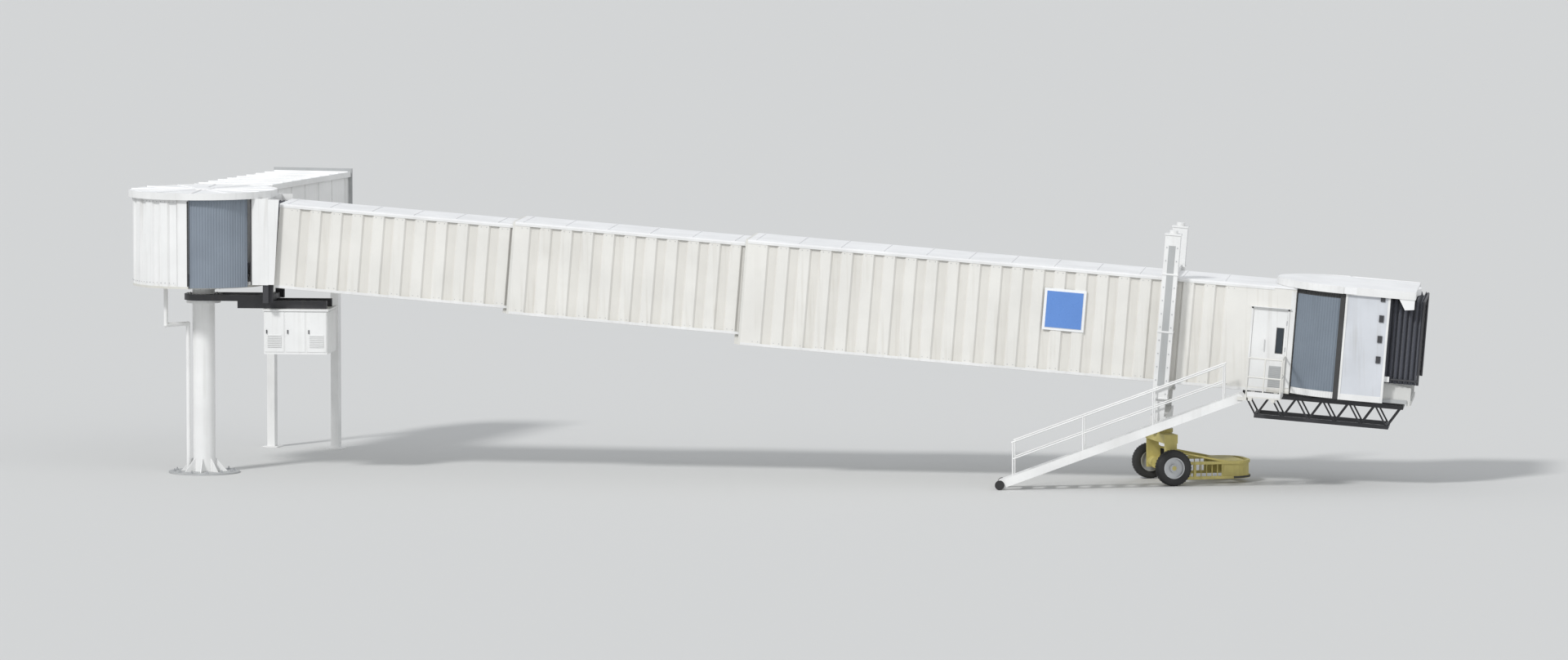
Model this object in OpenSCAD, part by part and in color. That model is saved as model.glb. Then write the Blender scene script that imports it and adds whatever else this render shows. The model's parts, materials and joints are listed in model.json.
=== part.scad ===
// Apron-drive passenger boarding bridge: a fixed rotunda and link corridor, three telescoping
// tunnels, a lift column pair on a steered two-wheel bogie, a service stair and a turning cab.
// The origin is at the foot of the rotunda column, +X runs along the tunnels towards the cab.

/* [Rotunda] */
// Radius of the rotunda's column
column_r = 300; // [240:10:420]
// Radius of the column's base plate
base_r = 950; // [850:10:1200]
// Thickness of the base plate
base_t = 40; // [25:1:80]
// Radius of the circle that the anchor holes lie on
anchor_pcd_r = 800; // [650:5:820]
// Radius of an anchor hole
anchor_hole_r = 18; // [10:1:30]
// Number of anchor holes
anchor_n = 12; // [6:1:16]
// Outer radius of the rotunda's walls
rotunda_r = 1880; // [1820:10:1960]
// Height of the rotunda's walking level above the ground
rotunda_floor_z = 5200; // [4900:10:5600]
// Thickness of the rotunda's and the corridor's floor
fixed_floor_t = 150; // [120:5:180]
// Clear height from the rotunda's floor to its ceiling
rotunda_h = 2240; // [2220:10:2500]
// Thickness of the rotunda's roof
rotunda_roof_t = 140; // [80:5:250]
// Overhang of the rotunda's roof past its walls
rotunda_eave = 100; // [60:5:160]
// Angle where the near curtain leaves the fixed wall's post
near_curtain_from = 267; // [262:1:275]
// Angle at which the fixed ribbed wall ends and its post begins
fixed_wall_to = 258; // [250:1:259]

/* [Corridor] */
// Angle of the link corridor from the tunnels' direction
corridor_az = 78; // [76:1:90]
// Width of the corridor over its walls
corridor_w = 2100; // [1900:10:2160]
// Distance from the rotunda's axis to the corridor's end face
corridor_end = 8200; // [6000:50:9000]
// Thickness of the corridor's wall panels
corridor_wall_t = 60; // [40:5:100]
// Distance from the rotunda's axis to the corridor's legs
leg_at = 7300; // [4500:50:7600]
// Side of a leg's square section
leg_side = 220; // [150:10:300]
// Depth of the flange that meets the building
flange_t = 60; // [40:5:100]
// Width of the flange's border outside the corridor
flange_border = 100; // [80:5:160]

/* [Swing frame] */
// Distance from the rotunda's axis to the tunnel's tilt axis
hinge_x = 1990; // [1980:5:2040]
// Depth of the swing frame's beams
arm_h = 160; // [120:5:160]
// Width of a swing frame beam
arm_w = 120; // [80:5:160]
// Half width over the entrance jambs
jamb_y = 1180; // [1150:5:1200]
// Thickness of an entrance jamb
jamb_t = 90; // [60:5:95]
// Radius of the tilt pins
pin_r = 30; // [20:1:35]
// Length of the equipment cabinet
cabinet_l = 1700; // [1200:20:1800]
// Width of the equipment cabinet
cabinet_w = 1500; // [1000:20:1600]
// Height of the equipment cabinet
cabinet_h = 1200; // [800:20:1400]

/* [Tunnels] */
// Downward slope of the tunnels towards the cab
slope = 4.6; // [3.5:0.1:5]
// Width of the first tunnel
a_w = 2000; // [1960:5:2020]
// Height of the first tunnel
a_h = 2250; // [2200:5:2270]
// Widening of each next tunnel, over both sides
step_w = 280; // [270:5:320]
// Depth by which the second tunnel's underside lies below the first's
b_drop = 130; // [125:5:150]
// Height of the second tunnel
b_h = 2460; // [2450:5:2520]
// Depth by which the third tunnel's underside lies below the second's
c_drop = 260; // [250:5:300]
// Height of the third tunnel
c_h = 2800; // [2780:5:2850]
// Distance from the tilt axis to the first tunnel's end
a_end = 12200; // [12000:50:12400]
// Distance from the tilt axis to the second tunnel's start
b_start = 6420; // [6300:10:6600]
// Distance from the tilt axis to the second tunnel's end
b_end = 18800; // [18600:50:19000]
// Distance from the tilt axis to the third tunnel's start
c_start = 12650; // [12500:10:12800]
// Distance from the tilt axis to the end of the third tunnel's ribs
c_rib_end = 25860; // [25700:10:25900]
// Thickness of a tunnel's sheet walls
sheet_t = 12; // [8:1:16]
// Width of a rib's outer land
rib_land = 265; // [200:5:300]
// Width of a rib's sloping flank, seen square on
rib_flank = 50; // [30:5:70]
// Width of the valley between ribs
rib_valley = 200; // [150:5:260]
// Depth of the ribs
rib_depth = 50; // [30:5:55]
// Thickness of the tunnels' roofs
tunnel_roof_t = 50; // [30:5:55]
// Overhang of a tunnel's roof at each side
tunnel_eave = 15; // [5:1:20]
// Depth along the tunnel of an entry frame
entry_t = 60; // [40:5:80]
// Radius of a telescope roller
roller_r = 55; // [40:1:60]

/* [Sign and door] */
// Side of the square sign on the third tunnel
sign_side = 1100; // [600:10:1200]
// Distance from the tilt axis to the sign's near edge
sign_at = 20580; // [18900:10:21000]
// Thickness of the sign
sign_t = 20; // [8:1:30]
// Distance from the tilt axis to the service door's opening
door_at = 26100; // [26000:10:26150]
// Width of the service door's opening
door_w = 900; // [750:10:950]
// Height of the service door's opening
door_h = 2050; // [1900:10:2150]
// Thickness of the service door
door_t = 45; // [30:1:55]

/* [Lift and bogie] */
// Distance from the tilt axis to the lift columns
lift_at = 23850; // [23600:10:24000]
// Side of an outer lift column
lift_side = 400; // [380:5:440]
// Wall of an outer lift column
lift_wall = 12; // [8:1:20]
// Side of an inner lift column
lift_inner_side = 300; // [260:5:320]
// Height of the outer lift columns' tops above the tilt axis, square to the slope
lift_top = 3500; // [3300:10:3700]
// Depth of the outer lift columns' lower ends below the tilt axis
lift_bottom = 850; // [760:10:870]
// Depth of the cross beam's upper face below the tilt axis
beam_top = 1300; // [1280:10:1400]
// Height of the cross beam
beam_h = 320; // [250:10:340]
// Radius of a drive wheel
wheel_r = 475; // [420:5:500]
// Width of a drive wheel's tyre
tyre_w = 260; // [180:5:300]
// Radius at which the tyre meets its rim
rim_r = 280; // [220:5:320]
// Distance between the middles of the drive wheels
track = 2200; // [2100:10:2300]
// Angle by which the bogie is steered
bogie_yaw = 20; // [0:1:40]
// Radius of the bogie's axle
axle_r = 60; // [40:1:80]
// Reach of the wheel guard from the bogie's middle
guard_reach = 2300; // [1700:20:2400]
// Radius of the guard's tube
guard_tube_r = 38; // [20:1:50]

/* [Stair] */
// Width of the stair over its stringers
stair_w = 800; // [700:10:900]
// Distance from the tunnel's middle to the stair's inner side
stair_y = 1800; // [1780:5:1850]
// Length of the stair from its hinge to its caster axle
stair_l = 6690; // [6300:10:7000]
// Depth of a stringer
stringer_h = 220; // [160:5:260]
// Thickness of a stringer
stringer_t = 50; // [30:1:60]
// Number of treads
tread_n = 12; // [10:1:14]
// Going of a tread
tread_going = 280; // [240:5:320]
// Thickness of a tread
tread_t = 40; // [25:1:50]
// Radius of a caster
caster_r = 125; // [90:1:150]
// Height of the handrails above the treads and the landing
rail_h = 1000; // [900:10:1100]
// Radius of a handrail's tube
rail_r = 22; // [16:1:30]
// Distance from the tilt axis to the landing's low edge
landing_from = 26100; // [26050:10:26140]
// Distance from the tilt axis to the landing's far edge
landing_to = 27050; // [26950:10:27090]
// Drop from the door's sill to the landing
landing_drop = 150; // [100:5:160]

/* [Cab] */
// Distance from the tilt axis to the cab's turning axis
cab_at = 28500; // [28450:10:28600]
// Outer radius of the cab's round rear and half its width
cab_r = 1800; // [1780:5:1850]
// Distance from the turning axis to the cab's front wall
cab_front = 1170; // [1100:10:1250]
// Distance from the turning axis to the floor's front edge
cab_nose = 1800; // [1700:10:1900]
// Thickness of the cab's walls
cab_wall_t = 60; // [40:5:80]
// Thickness of the cab's floor
cab_floor_t = 100; // [80:5:110]
// Thickness of the cab's roof
cab_roof_t = 170; // [80:5:250]
// Depth of the cheeks that hang from the roof's front corners
visor_h = 300; // [200:10:400]
// Width of the cab's front opening
cab_door_w = 2300; // [2000:10:2400]
// Height of the cab's front opening
cab_door_h = 2200; // [2000:10:2300]
// Height of the front windows' sills above the cab's floor
window_sill = 950; // [800:10:1100]
// Height of the front windows
window_h = 1000; // [700:10:1100]
// Half width over the canopy's sides
canopy_y = 1560; // [1500:5:1580]
// Distance from the turning axis to the canopy's front
canopy_end = 2000; // [1950:10:2200]
// Number of pleats in the canopy
pleat_n = 6; // [4:1:9]
// Depth of a pleat
pleat_d = 110; // [60:5:130]
// Thickness of the canopy's fabric walls
canopy_t = 30; // [20:1:50]

/* [Hidden] */
$fn = 48;
fine = 180;
clear = 5;
seat = 0.3;
over = 1;

hinge_above = 60;
tunnel_floor_t = 150;
hinge_z = rotunda_floor_z + hinge_above - tunnel_floor_t;
rib_pitch = rib_land + rib_valley + 2 * rib_flank;

a_bottom = -hinge_above;
b_bottom = a_bottom - b_drop;
c_bottom = b_bottom - c_drop;
a_top = a_bottom + a_h;
b_top = b_bottom + b_h;
c_top = c_bottom + c_h;
b_w = a_w + step_w;
c_w = b_w + step_w;
a_start = 75;
sill_h = 60;
threshold_t = 80;
b_floor_t = 100;
c_floor_t = 120;
c_floor_top = c_bottom + c_floor_t;
nest_gap = 30;

fixed_floor_bottom = rotunda_floor_z - fixed_floor_t;
ceiling_z = rotunda_floor_z + rotunda_h;
roof_z = ceiling_z + rotunda_roof_t;
rotunda_floor_r = rotunda_r - 160;
ledge_h = 60;
corridor_half_angle = asin(corridor_w / 2 / rotunda_r);
fixed_wall_from = corridor_az + corridor_half_angle + 0.5;
curtain_r = rotunda_r - 60;
curtain_t = 30;
jamb_to = hinge_x - 50;
jamb_from = jamb_to - 470;
threshold_from = jamb_from - 170;
jamb_angle = atan(jamb_y / jamb_from);
header_z = 7200;

collar_r = column_r + 160;
ring_z = 4640;
collar_h = 80;
head_r = column_r + 320;
head_t = 90;
arm_y = column_r + 90;
lug_r = 45;
lug_t = 40;
lug_y = 930;
cabinet_x = hinge_x - 240;
hanger_from = cabinet_x - 750;
cabinet_top = 4450;

bogie_x = hinge_x + lift_at * cos(slope) - (beam_top + beam_h / 2) * sin(slope);
bearing_z = 1430;
bearing_r = 280;
disc_t = 100;
lift_y = c_w / 2 + 50 + lift_side / 2;
lift_inner_top = 2700;
guide_h = 200;
inner_wall = 16;
yoke_h = 150;

landing_top = c_floor_top - landing_drop;
landing_t = 40;
landing_beam_h = 80;
stair_hinge_u = landing_from - stringer_h / 2 - 20;
stair_hinge_off = landing_top - landing_t - 40;
stair_x = hinge_x + stair_hinge_u * cos(slope) + stair_hinge_off * sin(slope);
stair_z = hinge_z - stair_hinge_u * sin(slope) + stair_hinge_off * cos(slope);
stair_angle = asin((stair_z - caster_r) / stair_l);
stair_pin_r = 25;
hinge_plate_t = 30;
caster_w = 60;

cab_floor_r = cab_r - 100;
cab_floor_half = cab_r - cab_wall_t;
cab_floor_bottom = c_floor_top - cab_floor_t;
cab_roof_z = c_top + 10;
nose_half = cab_r - 300;
bumper_y = nose_half - 50;
window_from = cab_door_w / 2 + 120;
window_to = cab_floor_half - 90;
bay_end = cab_at - sqrt(pow(cab_r + 30, 2) - pow(c_w / 2, 2));
cab_curtain_r = cab_r - 20;
collar_angle = 180 - asin(c_w / 2 / cab_r);
turntable_r = 900;
turntable_h = 130;
canopy_top = cab_roof_z - 20;
canopy_bottom = 90;
hoop_r = 35;
pivot_x = cab_front + 70;
pivot_off = canopy_bottom + 110;
pivot_y = canopy_y + 60;
pivot_t = 60;
pivot_r = 20;

// Frames that the pieces are placed in

module tunnel_frame() {
    translate([hinge_x, 0, hinge_z]) rotate([0, slope, 0]) children();
}

module cab_frame() {
    tunnel_frame() translate([cab_at, 0, 0]) children();
}

module corridor_frame() {
    rotate([0, 0, corridor_az]) children();
}

module bogie_at() {
    translate([bogie_x, 0, 0]) rotate([0, 0, bogie_yaw]) children();
}

module stair_at() {
    translate([stair_x, 0, stair_z]) rotate([0, -stair_angle, 0]) children();
}

module both_sides() {
    children();
    mirror([0, 1, 0]) children();
}

// A box given by its lowest and highest corners
module span(low, high) {
    translate(low) cube(high - low);
}

module rod(r, from, to) {
    axis = to - from;
    translate(from)
        rotate([0, acos(axis.z / norm(axis)), atan2(axis.y, axis.x)])
            cylinder(r = r, h = norm(axis));
}

// Ribbed sheet

function rib_count(length) = floor((length - rib_land) / rib_pitch);

function rib_line(length, shift) =
    let (n = rib_count(length), margin = (length - n * rib_pitch - rib_land) / 2)
    concat(
        [[0, shift]],
        [for (i = [0 : n - 1])
            let (x = margin + rib_land + i * rib_pitch)
            each [
                [x, shift],
                [x + rib_flank, shift - rib_depth],
                [x + rib_flank + rib_valley, shift - rib_depth],
                [x + 2 * rib_flank + rib_valley, shift]
            ]],
        [[length, shift]]
    );

function reversed(points) = [for (i = [len(points) - 1 : -1 : 0]) points[i]];

module ribbed_sheet(length) {
    polygon(concat(rib_line(length, 0), reversed(rib_line(length, -sheet_t))));
}

function arc_point(r, a) = [r * cos(a), r * sin(a)];

function arc_rib_line(r, from, to, n) =
    let (pitch = (to - from) / n, land = 0.47 * pitch, flank = 0.09 * pitch)
    concat(
        [for (i = [0 : n - 1])
            let (a = from + i * pitch)
            each [
                arc_point(r, a),
                arc_point(r, a + land),
                arc_point(r - rib_depth, a + land + flank),
                arc_point(r - rib_depth, a + pitch - flank)
            ]],
        [arc_point(r, to)]
    );

module arc_band(r, thickness, from, to, h, n = 24) {
    angles = [for (i = [0 : n]) from + (to - from) * i / n];
    linear_extrude(h)
        polygon(concat(
            [for (a = angles) arc_point(r, a)],
            [for (a = reversed(angles)) arc_point(r - thickness, a)]
        ));
}

// Rotunda

module base_plate() {
    color("gainsboro") difference() {
        cylinder(r = base_r, h = base_t);
        for (i = [0 : anchor_n - 1])
            rotate([0, 0, (i + 0.5) * 360 / anchor_n])
                translate([anchor_pcd_r, 0, -over])
                    cylinder(r = anchor_hole_r, h = base_t + 2 * over);
    }
}

module rotunda_column() {
    gusset_h = 350;
    gusset_t = 20;
    gusset_reach = 330;
    color("white") {
        difference() {
            union() {
                translate([0, 0, base_t]) cylinder(r = column_r, h = fixed_floor_bottom - base_t);
                translate([0, 0, ring_z - collar_h]) cylinder(r = collar_r, h = collar_h);
                translate([0, 0, fixed_floor_bottom - head_t]) cylinder(r = head_r, h = head_t);
                for (i = [0 : 7])
                    rotate([0, 0, i * 45])
                        translate([0, gusset_t / 2, base_t])
                            rotate([90, 0, 0])
                                linear_extrude(gusset_t)
                                    polygon([[column_r - 15, 0], [column_r + gusset_reach, 0],
                                             [column_r + 20, gusset_h], [column_r - 15, gusset_h]]);
            }
            translate([0, 0, base_t - over])
                cylinder(r = column_r - 20, h = fixed_floor_bottom - base_t - 2 * head_t);
        }
    }
}

// A downpipe from the rotunda's floor, across to the column and down beside it
module column_pipe() {
    pipe_r = 55;
    pipe_gap = 75;
    elbow_r = pipe_r + 6;
    down_at = column_r + pipe_gap + pipe_r;
    top_x = -900;
    top_y = -700;
    cross_z = 4000;
    down_turn = 202.5;
    low_x = down_at * cos(down_turn);
    low_y = down_at * sin(down_turn);
    color("white") {
        rod(pipe_r, [top_x, top_y, cross_z], [top_x, top_y, fixed_floor_bottom]);
        rod(pipe_r, [low_x, low_y, cross_z], [top_x, top_y, cross_z]);
        rod(pipe_r, [low_x, low_y, base_t + seat], [low_x, low_y, cross_z]);
        translate([top_x, top_y, cross_z]) sphere(r = elbow_r);
        translate([low_x, low_y, cross_z]) sphere(r = elbow_r);
    }
}

module rotunda_floor() {
    color("silver") {
        translate([0, 0, fixed_floor_bottom]) cylinder(r = rotunda_floor_r, h = fixed_floor_t);
        translate([0, 0, fixed_floor_bottom])
            arc_band(rotunda_r + 5, rotunda_r - rotunda_floor_r + 40, fixed_wall_from,
                     near_curtain_from, ledge_h, 48);
    }
}

module rotunda_walls() {
    bottom = fixed_floor_bottom + ledge_h;
    color("white") {
        translate([0, 0, bottom])
            linear_extrude(ceiling_z - bottom)
                polygon(concat(
                    arc_rib_line(rotunda_r, fixed_wall_from, fixed_wall_to, 9),
                    reversed(arc_rib_line(rotunda_r - sheet_t, fixed_wall_from, fixed_wall_to, 9))
                ));
        translate([0, 0, bottom])
            arc_band(rotunda_r, 100, fixed_wall_to + 0.2, near_curtain_from, ceiling_z - bottom, 6);
    }
}

module rotunda_roof() {
    color("white")
        translate([0, 0, ceiling_z])
            cylinder(r = rotunda_r + rotunda_eave, h = rotunda_roof_t);
}

// Corridor

module corridor_floor() {
    neck_half = corridor_w / 2 - 120;
    neck_from = sqrt(pow(rotunda_floor_r, 2) - pow(neck_half, 2));
    color("silver") corridor_frame() difference() {
        union() {
            span([rotunda_r, -corridor_w / 2, fixed_floor_bottom],
                 [corridor_end - flange_t, corridor_w / 2, rotunda_floor_z]);
            span([neck_from, -neck_half, fixed_floor_bottom],
                 [rotunda_r + over, neck_half, rotunda_floor_z]);
        }
        translate([0, 0, fixed_floor_bottom - over])
            cylinder(r = rotunda_floor_r + seat, h = fixed_floor_t + 2 * over, $fn = fine);
    }
}

module corridor_walls() {
    from = sqrt(pow(rotunda_r, 2) - pow(corridor_w / 2, 2));
    color("white") corridor_frame() both_sides()
        span([from, corridor_w / 2 - corridor_wall_t, rotunda_floor_z],
             [corridor_end - flange_t, corridor_w / 2, ceiling_z - seat]);
}

module corridor_roof() {
    color("white") corridor_frame() difference() {
        span([rotunda_r - 300, -corridor_w / 2 - 40, ceiling_z],
             [corridor_end - flange_t, corridor_w / 2 + 40, roof_z]);
        translate([0, 0, ceiling_z - over])
            cylinder(r = rotunda_r + rotunda_eave + seat, h = rotunda_roof_t + 2 * over, $fn = fine);
    }
}

module corridor_legs() {
    foot_side = 450;
    foot_t = 30;
    beam_depth = 300;
    y = corridor_w / 2 - leg_side;
    color("white") corridor_frame() {
        both_sides() {
            span([leg_at, y, 0], [leg_at + leg_side, y + leg_side, fixed_floor_bottom]);
            span([leg_at + leg_side / 2 - foot_side / 2, y + leg_side / 2 - foot_side / 2, 0],
                 [leg_at + leg_side / 2 + foot_side / 2, y + leg_side / 2 + foot_side / 2, foot_t]);
        }
        span([leg_at, -corridor_w / 2, fixed_floor_bottom - beam_depth],
             [leg_at + leg_side, corridor_w / 2, fixed_floor_bottom]);
    }
}

module corridor_flange() {
    hole_r = 11;
    low = fixed_floor_bottom - flange_border;
    high = roof_z + flange_border;
    half = corridor_w / 2 + flange_border;
    color("lightgray") corridor_frame() difference() {
        span([corridor_end - flange_t, -half, low], [corridor_end, half, high]);
        span([corridor_end - flange_t - over, -corridor_w / 2 + corridor_wall_t, rotunda_floor_z],
             [corridor_end + over, corridor_w / 2 - corridor_wall_t, ceiling_z]);
        for (side = [-1, 1], i = [0 : 5])
            translate([corridor_end - flange_t - over, side * (half - flange_border / 2),
                       low + 150 + i * (high - low - 300) / 5])
                rotate([0, 90, 0]) cylinder(r = hole_r, h = flange_t + 2 * over, $fn = 24);
    }
}

// Swing frame

module swing_frame() {
    beam_x = jamb_to - 150;
    end_y = jamb_y - 30;
    color("dimgray") difference() {
        union() {
            translate([0, 0, ring_z + seat]) cylinder(r = arm_y + arm_w, h = arm_h);
            both_sides() {
                span([0, arm_y, ring_z + seat], [beam_x + 20, arm_y + arm_w, ring_z + seat + arm_h]);
                span([hanger_from, arm_y, cabinet_top], [cabinet_x + cabinet_l - 50, arm_y + arm_w, ring_z + 20]);
                span([beam_x, end_y - 200, ring_z + seat],
                     [jamb_to, end_y, rotunda_floor_z - threshold_t]);
                for (y = [lug_y - lug_t - 10, lug_y + lug_t + 10]) {
                    translate([0, y, 0])
                        span([beam_x + 20, -lug_t / 2, ring_z + seat],
                             [hinge_x + lug_r, lug_t / 2, hinge_z]);
                    translate([hinge_x, y + lug_t / 2, hinge_z])
                        rotate([90, 0, 0]) cylinder(r = lug_r, h = lug_t);
                }
                rod(pin_r, [hinge_x, lug_y - 2 * lug_t, hinge_z], [hinge_x, lug_y + 2 * lug_t, hinge_z]);
            }
            span([beam_x, -end_y, ring_z + seat], [jamb_to, end_y, ring_z + seat + arm_h]);
        }
        translate([0, 0, ring_z - over]) cylinder(r = column_r + clear, h = arm_h + 3 * over);
    }
}

module entrance_frame() {
    color("white") difference() {
        union() {
            both_sides()
                span([jamb_from, jamb_y - jamb_t, rotunda_floor_z - threshold_t],
                     [jamb_to, jamb_y, ceiling_z - 20]);
            span([jamb_to - 170, -jamb_y, header_z], [jamb_to, jamb_y, ceiling_z - 20]);
            span([threshold_from, -jamb_y + jamb_t, rotunda_floor_z - threshold_t],
                 [jamb_to, jamb_y - jamb_t, rotunda_floor_z]);
        }
        translate([0, 0, rotunda_floor_z - 100])
            cylinder(r = rotunda_floor_r + clear, h = 200, $fn = fine);
    }
}

module entrance_bellows() {
    inset = 70;
    module side(half, low, high, extra) {
        translate([0, half, 0]) rotate([90, 0, 0]) linear_extrude(2 * half)
            polygon([
                [jamb_to + seat - extra, low],
                [hinge_x + a_start - seat + extra + (low - hinge_z) * tan(slope), low],
                [hinge_x + a_start - seat + extra + (high - hinge_z) * tan(slope), high],
                [jamb_to + seat - extra, high]
            ]);
    }
    color("dimgray") difference() {
        side(a_w / 2, hinge_z + lug_r + 20, hinge_z + a_top - 20, 0);
        side(a_w / 2 - inset, hinge_z, hinge_z + a_top - 20 - inset, over);
    }
}

module equipment_cabinet() {
    skin = 6;
    color("white") difference() {
        span([cabinet_x, -cabinet_w / 2, cabinet_top - cabinet_h],
             [cabinet_x + cabinet_l, cabinet_w / 2, cabinet_top]);
        span([cabinet_x + skin, -cabinet_w / 2 + skin, cabinet_top - cabinet_h + skin],
             [cabinet_x + cabinet_l - skin, cabinet_w / 2 - skin, cabinet_top - skin]);
    }
}

module rotunda_curtain(from, to) {
    low = fixed_floor_bottom + 10;
    color("slategray")
        translate([0, 0, low])
            arc_band(curtain_r, curtain_t, from, to, ceiling_z - seat - low, 16);
}

module rotunda_near_curtain() {
    rotunda_curtain(near_curtain_from + 0.3, 360 - jamb_angle - 1);
}

module rotunda_far_curtain() {
    rotunda_curtain(jamb_angle + 1, corridor_az - corridor_half_angle - 0.3);
}

// Tunnels

module tunnel_floor(from, to, w, bottom, t) {
    inner = w / 2 - rib_depth - sheet_t;
    span([from, -w / 2, bottom], [to, w / 2, bottom + sill_h]);
    span([from, -inner, bottom], [to, inner, bottom + t]);
}

module tunnel_walls(from, to, w, bottom, top) {
    tunnel_height = top - tunnel_roof_t - bottom - sill_h;
    both_sides()
        translate([from, w / 2, bottom + sill_h])
            linear_extrude(tunnel_height) ribbed_sheet(to - from);
}

module tunnel_roof(from, to, w, top) {
    span([from, -w / 2 - tunnel_eave, top - tunnel_roof_t], [to, w / 2 + tunnel_eave, top]);
}

// The frame at the start of an outer tunnel, with rollers that carry the inner one
module tunnel_entry(start, w, bottom, top, inner_w, inner_bottom, inner_top) {
    roller_w = 120;
    roller_y = inner_w / 2 - 150;
    cheek_t = 15;
    roller_off = inner_bottom - seat - roller_r;
    roller_u = start - entry_t - roller_r - 15;
    difference() {
        span([start - entry_t, -w / 2, bottom], [start, w / 2, top]);
        span([start - entry_t - over, -inner_w / 2 - nest_gap, inner_bottom - nest_gap],
             [start + over, inner_w / 2 + nest_gap, inner_top + nest_gap]);
    }
    both_sides() {
        for (side = [-1, 1])
            translate([0, roller_y + side * (roller_w / 2 + cheek_t / 2 + seat), 0])
                span([roller_u - roller_r, -cheek_t / 2, bottom],
                     [start - entry_t, cheek_t / 2, inner_bottom - nest_gap]);
        rod(14, [roller_u, roller_y - roller_w / 2 - cheek_t / 2, roller_off],
                [roller_u, roller_y + roller_w / 2 + cheek_t / 2, roller_off]);
    }
    both_sides() translate([roller_u, roller_y + roller_w / 2, roller_off]) rotate([90, 0, 0])
        difference() {
            cylinder(r = roller_r, h = roller_w);
            translate([0, 0, -over]) cylinder(r = 14 + seat, h = roller_w + 2 * over);
        }
}

module tunnel_a_floor() {
    color("silver") tunnel_frame() difference() {
        union() {
            tunnel_floor(a_start, a_end, a_w, a_bottom, tunnel_floor_t);
            both_sides() {
                span([0, lug_y - lug_t / 2, -lug_r], [a_start + 100, lug_y + lug_t / 2, lug_r]);
                translate([0, lug_y + lug_t / 2, 0]) rotate([90, 0, 0])
                    cylinder(r = lug_r, h = lug_t);
            }
        }
        both_sides() translate([0, lug_y + lug_t, 0]) rotate([90, 0, 0])
            cylinder(r = pin_r + seat, h = 2 * lug_t);
    }
}

module tunnel_a_walls() {
    color("ivory") tunnel_frame() tunnel_walls(a_start, a_end, a_w, a_bottom, a_top);
}

module tunnel_a_roof() {
    color("white") tunnel_frame() tunnel_roof(a_start, a_end, a_w, a_top);
}

module tunnel_b_floor() {
    color("silver") tunnel_frame() tunnel_floor(b_start, b_end, b_w, b_bottom, b_floor_t);
}

module tunnel_b_walls() {
    color("ivory") tunnel_frame() tunnel_walls(b_start, b_end, b_w, b_bottom, b_top);
}

module tunnel_b_roof() {
    color("white") tunnel_frame() tunnel_roof(b_start, b_end, b_w, b_top);
}

module tunnel_b_entry() {
    color("gainsboro") tunnel_frame()
        tunnel_entry(b_start, b_w, b_bottom, b_top, a_w, a_bottom, a_top);
}

module tunnel_c_floor() {
    color("silver") tunnel_frame() difference() {
        tunnel_floor(c_start, cab_at, c_w, c_bottom, c_floor_t);
        translate([cab_at, 0, c_bottom - over])
            cylinder(r = cab_floor_r + 15, h = c_floor_t + 2 * over, $fn = 96);
        span([bay_end, -c_w, c_bottom - over], [cab_at + over, c_w, c_floor_top + over]);
    }
}

module tunnel_c_walls() {
    low = c_bottom + sill_h;
    color("ivory") tunnel_frame() {
        tunnel_walls(c_start, c_rib_end, c_w, c_bottom, c_top);
        span([c_rib_end, c_w / 2 - cab_wall_t, low], [bay_end, c_w / 2, c_top - tunnel_roof_t]);
        difference() {
            span([c_rib_end, -c_w / 2, low], [bay_end, -c_w / 2 + cab_wall_t, c_top - tunnel_roof_t]);
            span([door_at, -c_w, c_floor_top], [door_at + door_w, 0, c_floor_top + door_h]);
        }
    }
}

module tunnel_c_roof() {
    color("white") tunnel_frame() difference() {
        tunnel_roof(c_start, cab_at, c_w, c_top);
        translate([cab_at, 0, c_top - tunnel_roof_t - over])
            cylinder(r = cab_r + 40, h = tunnel_roof_t + 2 * over, $fn = 96);
    }
}

module tunnel_c_entry() {
    color("gainsboro") tunnel_frame()
        tunnel_entry(c_start, c_w, c_bottom, c_top, b_w, b_bottom, b_top);
}

module sign_panel() {
    low = 680;
    border = 60;
    color("royalblue") tunnel_frame() {
        span([sign_at + border, -c_w / 2 - sign_t - 10, low + border],
             [sign_at + sign_side - border, -c_w / 2 - sign_t, low + sign_side - border]);
        span([sign_at, -c_w / 2 - sign_t, low],
             [sign_at + sign_side, -c_w / 2, low + sign_side]);
    }
}

module service_door() {
    handle_r = 14;
    handle_y = -c_w / 2 - 45;
    handle_u = door_at + 330;
    pane_from = door_at + 655;
    face_y = -c_w / 2 + 2;
    color("white") tunnel_frame() {
        difference() {
            span([door_at + 3, face_y, c_floor_top + seat],
                 [door_at + door_w - 3, face_y + door_t, c_floor_top + door_h - 3]);
            span([pane_from, face_y - over, 600], [pane_from + 170, face_y + 12, 1250]);
        }
        rod(handle_r, [handle_u, handle_y, 650], [handle_u, handle_y, 950]);
        for (z = [680, 920])
            rod(handle_r - 4, [handle_u, handle_y, z], [handle_u, -c_w / 2 + 10, z]);
    }
}

// Landing and stair

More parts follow.
